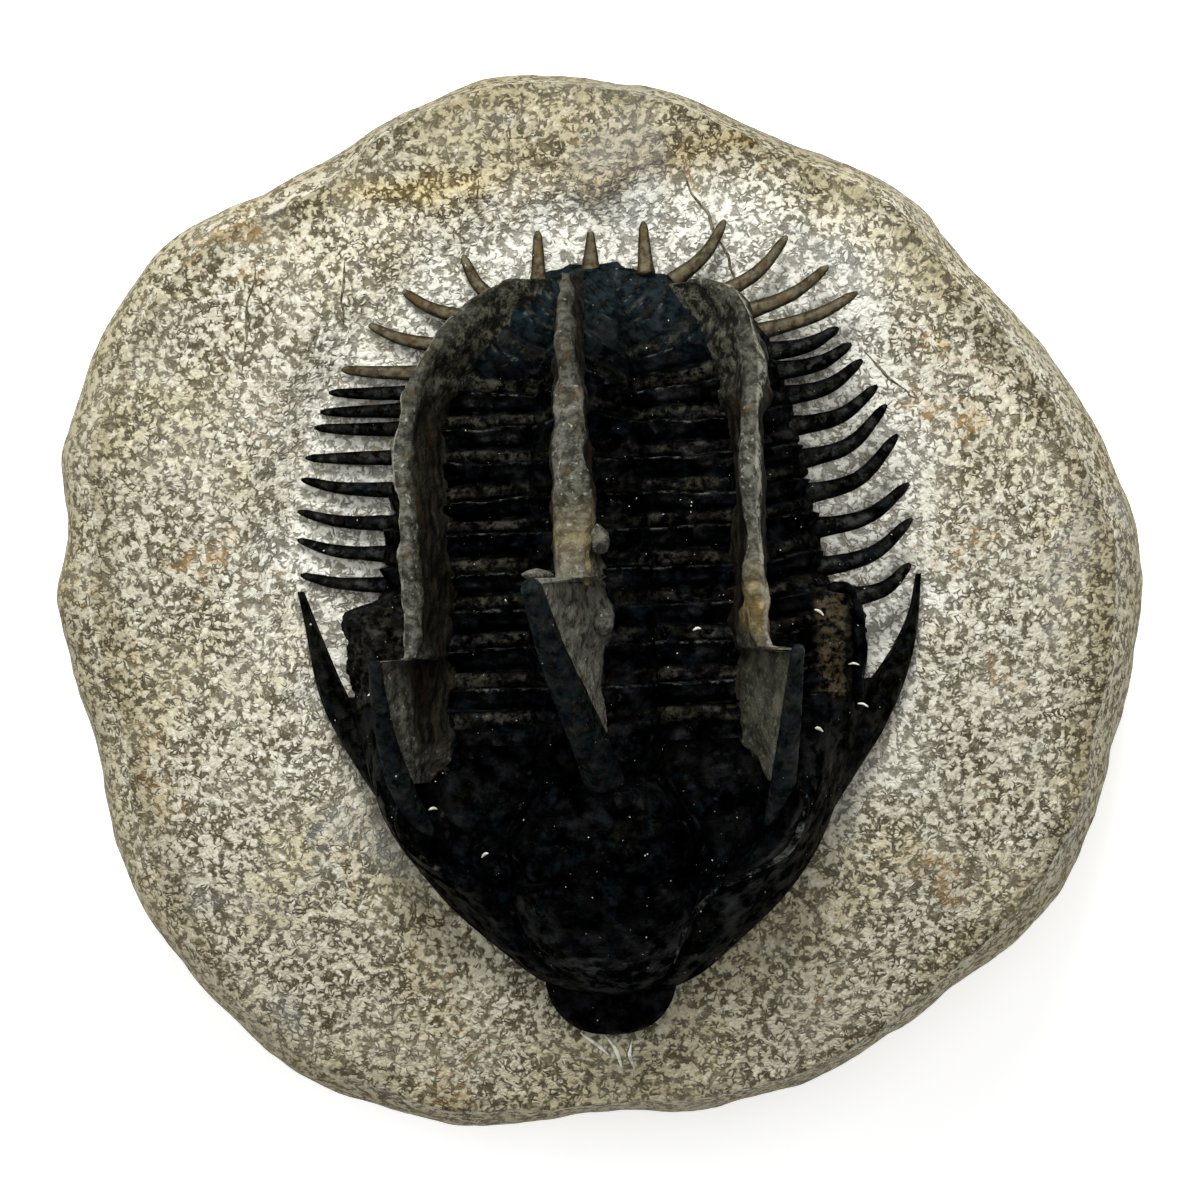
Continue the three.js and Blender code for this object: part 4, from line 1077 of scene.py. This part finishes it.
def path_at(points, t):
    """A smooth path through points, with its direction, at shares t of its length."""
    stations = np.linspace(0, 1, len(points))
    curves = [through(spots(stations, column)) for column in np.transpose(points)]
    places = (t, np.minimum(t + 0.01, 1), np.maximum(t - 0.01, 0))
    centre, ahead, behind = [np.stack([curve(place) for curve in curves], -1) for place in places]
    along = ahead - behind
    return centre, along / np.linalg.norm(along, axis=-1, keepdims=True)


def horn(points, radius, sides, seed, wobble=0.05):
    """A tapered horn along a smooth path. radius holds the thickness at each of its rings."""
    centre, along = path_at(points, np.linspace(0, 1, len(radius)))
    across = np.cross((0, 0, 1), along)
    across /= np.linalg.norm(across, axis=-1, keepdims=True)
    up = np.cross(along, across)
    turn = np.linspace(0, 2 * math.pi, sides, endpoint=False)[None, :, None]
    ring = (across[:, None] * np.cos(turn) + up[:, None] * np.sin(turn)) * radius[:, None, None]
    swell = 1 + wobble * rough(centre[:, None] + ring, 1.2, seed)[..., None]
    return centre[:, None] + ring * swell


def lifted(points, radius):
    """Keeps a spine's path clear of the hollow's floor."""
    points = np.array(points, float)
    points[:, 2] = np.maximum(points[:, 2], floor_at(points[:, 0]) + 0.25 + radius)
    return points


def fan_spine(side, spine, girth, seed):
    v, bearing, reach = spine
    turn = math.radians(bearing)
    root = (side * (margin(v) * (1 + side * tail_skew(v)) - 1.2), v)
    tip = (side * (SPINE_FAN[0] + reach * math.cos(turn)), SPINE_FAN[1] + reach * math.sin(turn))
    elbow = (lerp(root[0], tip[0], 0.6), lerp(root[1], tip[1], girth["bend"]))
    first, middle, last = in_world(*root, 1.6), in_world(*elbow, 1), in_world(*tip, 0.4)
    path = np.concatenate([
        lifted([first, middle], girth["root"]),
        lifted([last], girth["tip"]),
    ])
    t = np.linspace(0, 1, 30)
    radius = lerp(girth["root"], girth["tip"], t**1.6) + girth["flare"] * fall(t, 0, 0.3)
    radius[-3:] *= (0.9, 0.74, 0.4)
    return horn(path, radius, FRINGE_SIDES, seed)


def fossil_spines():
    """The fan of spines at the sides and the tail, each with a painted highlight along its top. The tail's
    are brown, with painted shade away from the top.
    """
    shells, tail = [], []
    for side in (-1, 1):
        for kind, girth, brown in ((SIDE_SPINES, SIDE_SPINE, 0), (TAIL_SPINES, TAIL_SPINE, 1)):
            for number, spine in enumerate(kind[side]):
                shells.append(fan_spine(side, spine, girth[side], 100 + number))
                tail.append(brown)
    root, tip = [lifted([in_world(u, v, 1.4)], TAIL_SPINE[1]["root"])[0] for u, v in END_SPINE]
    radius = lerp(0.9, 0.25, np.linspace(0, 1, 24))
    shells.append(horn([root, (root + tip) / 2, tip], radius, FRINGE_SIDES, 140))
    tail.append(1)
    # crown marks each spine's top. The edge share on it is a painted highlight, and the brown spines get
    # painted shade away from it.
    crown = bump(np.arange(FRINGE_SIDES) / FRINGE_SIDES, 0.25, 0.12)
    marks = {"tail": tail, "crown": crown, "edge": crown * 0.25, "dust": crown * 0.3}
    fossil_piece("fossil_fringe", shells, marks, shell_brown)


def cheek_spines():
    shells = []
    turn = np.linspace(0, 2 * math.pi, 32, endpoint=False)[None]
    lift = np.sin(turn)
    lift = np.where(lift > 0, np.abs(lift) ** 0.8, lift * 0.25)
    for side in (-1, 1):
        outline = {edge: CHEEK_SPINE[edge][side] for edge in ("inner", "outer")}
        v = np.linspace(-7, outline["outer"][-1][0], 90)[:, None]
        inner, outer = [through(outline[edge])(v) for edge in ("inner", "outer")]
        height = through(CHEEK_SPINE["height"])(v) + 0.8 * ease(-v, -1, 4)
        point = in_world(side * lerp(inner, outer, 0.5 + 0.5 * np.cos(turn)), v, 0)
        point[..., 2] = floor_at(point[..., 0]) + 0.3 + height * lift
        point[..., 2] += rough(point, 1.5, 150) * 0.07
        shells.append(point)
    fossil_piece("cheek_spines", shells, {"dust": 0.25})


def spine_at(spine, side, lean, v):
    """Centre and thickness of an upright spine where it passes v."""
    start, end = spine["w"][0][0], spine["w"][-1][0]
    share = np.clip((v - start) / (end - start), 0, 1)
    u = through(spine["u"])(v) + lean * share**2
    return side * u, through(spine["w"])(v), lerp(spine["root"], spine["tip"], share**1.4)


def upright_spine(spine, side, lean, seed):
    v = np.linspace(spine["w"][0][0], spine["w"][-1][0], 6)
    u, w, _ = spine_at(spine, side, lean, v)
    radius = lerp(spine["root"], spine["tip"], np.linspace(0, 1, 60) ** 1.4)
    rings = horn(in_world(u, v, w), radius, UPRIGHT_SIDES, seed, 0.06)
    cut = rings[-1].mean(0)
    rings[-1] = cut + (rings[-1] - cut) * 0.82
    return rings


def upright_spines():
    """The two eye spines and the neck spine. The right eye spine has a painted highlight along one edge."""
    shells = [upright_spine(EYE_SPINE, side, EYE_SPINE_SPLAY[side], 170 + side) for side in (-1, 1)]
    shells.append(upright_spine(NECK_SPINE, 1, 0, 175))
    # A painted highlight line along one side of the right eye spine, laid through the edge mark.
    line = bump(np.arange(UPRIGHT_SIDES) / UPRIGHT_SIDES, 0.5, 0.05)
    fossil_piece("upright_spines", shells, {"tail": 0.15, "edge": [0, line, 0], "dust": 0.4})


def fossil_top(u, v):
    """The fossil's top at a place, head or ribs."""
    side = np.abs(u)
    knee, rim = fulcrum(v), margin(v)
    square = squareness(v)
    share = np.clip((side - knee) / (rim - knee), 0, 1)
    flank = lerp(MARGIN_HEIGHT, pleura_top(v) - FULCRUM_DROP, (1 - share**square) ** (1 / square))
    ribs = np.where(side <= knee, back_height(np.minimum(side, knee), v), flank)
    swept = v - head_bow(v) * (u / head_half(v)) ** 2
    front = np.where(swept < HEAD_BACK, head_height(u, swept), 0)
    return np.maximum(ribs, front)


def wall(shape, spine, side, lean, seed):
    """One upright wall of rock, its foot sunk in the fossil and its front under its spine.

    Gives its rings and its marks, and the place along it and the share of its height at each point.
    """
    v = np.linspace(*shape["ends"], WALL_ROWS)[:, None]
    foot, root, ramp, top, half, height = [
        through(shape[key])(v) for key in ("foot", "root", "ramp", "top", "half", "height")
    ]
    root = root * (1 + 0.3 * rough(spots(v, 0, 5), 1.8, seed + 3, 3))
    ragged = rough(spots(v, 0, 0), 2.4, seed, 4)
    under = v < shape["under"]
    spine_u, spine_w, spine_radius = spine_at(spine, side, lean, v)
    low, high = side * foot, np.where(under, spine_u, side * top)
    crown = np.where(under, spine_w - spine_radius * 0.7, height + ragged * 0.55)
    half = np.where(under, spine_radius * 0.8, half)
    turn = np.linspace(0, 1, WALL_POINTS)[None]
    steep = lerp(2.2, 1.5, ease(v, 20, 28))
    sides = []
    for way in (-1, 1):
        reach = root + ramp * (way == -side)
        width = lerp(reach, half, 1 - (1 - turn) ** steep) * np.sqrt(1 - 0.85 * turn**9)
        u = lerp(low, high, turn**0.8) + way * width
        base = fossil_top(low + way * reach, v) - 0.5
        # line: a thin painted highlight along the outer edge of the top.
        line = ease(turn, 0.8, 0.93) * fall(turn, 0.97, 1) * (way == side)
        part = spots(u, lerp(base, np.maximum(crown, base + 0.6), turn), turn, line)
        sides.append(part[:, ::-way])
    u, w, rise, line = np.moveaxis(np.concatenate(sides, axis=1), -1, 0)
    rings = in_world(u, v, w)
    rings = rings + normals(rings) * (rough(rings, 2.1, seed + 5, 4) * 0.32)[..., None]
    span = v + rise * 0
    ruin = ease(span, 23, 28)
    # The crest share is pale rock on the wall's top, and partly a painted highlight there.
    web = fall(span, shape["under"] - 0.3, shape["under"] + 2.5)
    marks = {
        "crest": fall((crown - w) / 1.5, 0.3, 1.1) * lerp(1, 0.55, ruin),
        "web": web * ease(rise + ragged * 0.08, 0.02, 0.16),
        "ruin": ruin,
        "line": line,
    }
    return rings, marks, span, rise


def middle_wall():
    rings, marks, span, rise = wall(MIDDLE_WALL, NECK_SPINE, 1, 0, 200)
    web = marks["web"] * 0.7
    marks = {
        "ochre": 0.6 * bump(span, 15, 2.2) * bump(rise, 0.85, 0.25),
        "web": web,
        "crest": np.maximum(marks["crest"], 1.1 * web),
        # Painted light: the line mark lightens the middle wall's web against its shade.
        "line": 0.5 * web,
    }
    shells, marks = [rings], {key: [mark] for key, mark in marks.items()}
    for number, (start, end, radius) in enumerate(WALL_KNOBS):
        t = np.linspace(0.03, 0.97, 22)
        size = np.maximum(radius * np.sin(t * math.pi) ** 0.7, 0.1)
        path = in_world(*np.array([start, np.add(start, end) / 2, end]).T)
        shells.append(horn(path, size, 26, 210 + number, 0.2))
        knob_marks = {"crest": 0.8, "ochre": 0.8 * (number == YELLOW_KNOB)}
        for key in marks:
            marks[key].append(knob_marks.get(key, 0))
    wall_piece("middle", shells, marks)


def left_wall():
    rings, marks, span, rise = wall(SIDE_WALLS[-1], EYE_SPINE, -1, EYE_SPINE_SPLAY[-1], 230)
    strip = 0.7 * ease(rise, 0.5, 0.66) * marks.pop("web")
    dusty = 0.45 * ease(-span, -1.5, 0.5)
    marks["crest"] = np.maximum(marks["crest"] * 0.75, np.maximum(strip, dusty))
    wall_piece("left", [rings], marks)


def right_wall():
    rings, marks, span, rise = wall(SIDE_WALLS[1], EYE_SPINE, 1, EYE_SPINE_SPLAY[1], 250)
    marks["ochre"] = bump(span, 9.6, 2.2)
    yellow = marks["ochre"] * 0.9 * ease(rise, 0.3, 0.6)
    marks["crest"] = np.maximum(marks["crest"] * 0.75, yellow)
    wall_piece("right", [rings], marks)


def head_rims():
    """The eye lobes' rims, the ridges that run on from them to the snout, and the ridges on the block. The
    rims and the ridge to the snout carry a painted highlight.
    """
    shells = []
    for number, (path, radius) in enumerate(HEAD_RIMS):
        u, v = np.array(path, float).T
        line = in_world(u, v, fossil_top(u, v) + 0.1)
        shells.append(horn(line, spindle(radius, 60, 0.1, 0.6), 12, 400 + number, 0.15))
    for number, (path, radius) in enumerate(BLOCK_RIDGES):
        line = in_world(*np.array(path).T)
        shells.append(horn(line, spindle(radius, 50, 0.2, 0.4), 16, 410 + number, 0.3))
    fossil_piece("head_rims", shells, {"edge": RIM_HIGHLIGHTS})


# The setting


def area_light(name, place, size, power):
    """A square light that points at the middle of the base."""
    light = bpy.data.lights.new(name, "AREA")
    light.size = size
    light.energy = power
    made = add_object(name, light)
    made.location = place
    made.rotation_euler = (-made.location).to_track_quat("-Z", "Y").to_euler()


def stage_floor():
    mesh = bpy.data.meshes.new("floor")
    corners = [(x * FLOOR_REACH, y * FLOOR_REACH, 0) for x, y in ((-1, -1), (1, -1), (1, 1), (-1, 1))]
    mesh.from_pydata(corners, [], [(0, 1, 2, 3)])
    mesh.materials.append(floor_material())
    floor = add_object("floor", mesh)


def studio():
    for light in LIGHTS:
        area_light(*light)
    world = bpy.data.worlds.new("studio")
    world.use_nodes = True
    background = world.node_tree.nodes["Background"]
    background.inputs["Color"].default_value = (1, 1, 1, 1)
    background.inputs["Strength"].default_value = SKY_STRENGTH
    bpy.context.scene.world = world
    bpy.context.scene.view_settings.view_transform = "Standard"


def camera():
    """Straight down, as in the photo."""
    data = bpy.data.cameras.new("camera")
    data.sensor_width = CAMERA_SENSOR
    data.lens = CAMERA_LENS
    data.clip_start = 0.01
    made = add_object("camera", data)
    made.location = CAMERA_PLACE
    bpy.context.scene.camera = made


limestone = limestone_material()
shell = shell_material("fossil_shell")
shell_brown = shell_material("fringe_shell", brown=True)
wall_rock = wall_material()
crack_fill = speck_material("crack_fill", (64, 58, 42), (120, 112, 92))
fleck_stone = speck_material("fleck_stone", (226, 224, 214), (188, 184, 168))

stone_surface = stone()
stone_cracks(stone_surface)
stone_flecks(stone_surface)
fossil_back()
fossil_head()
fossil_snout()
fossil_spines()
cheek_spines()
upright_spines()
head_rims()
middle_wall()
left_wall()
right_wall()
stage_floor()
studio()
camera()
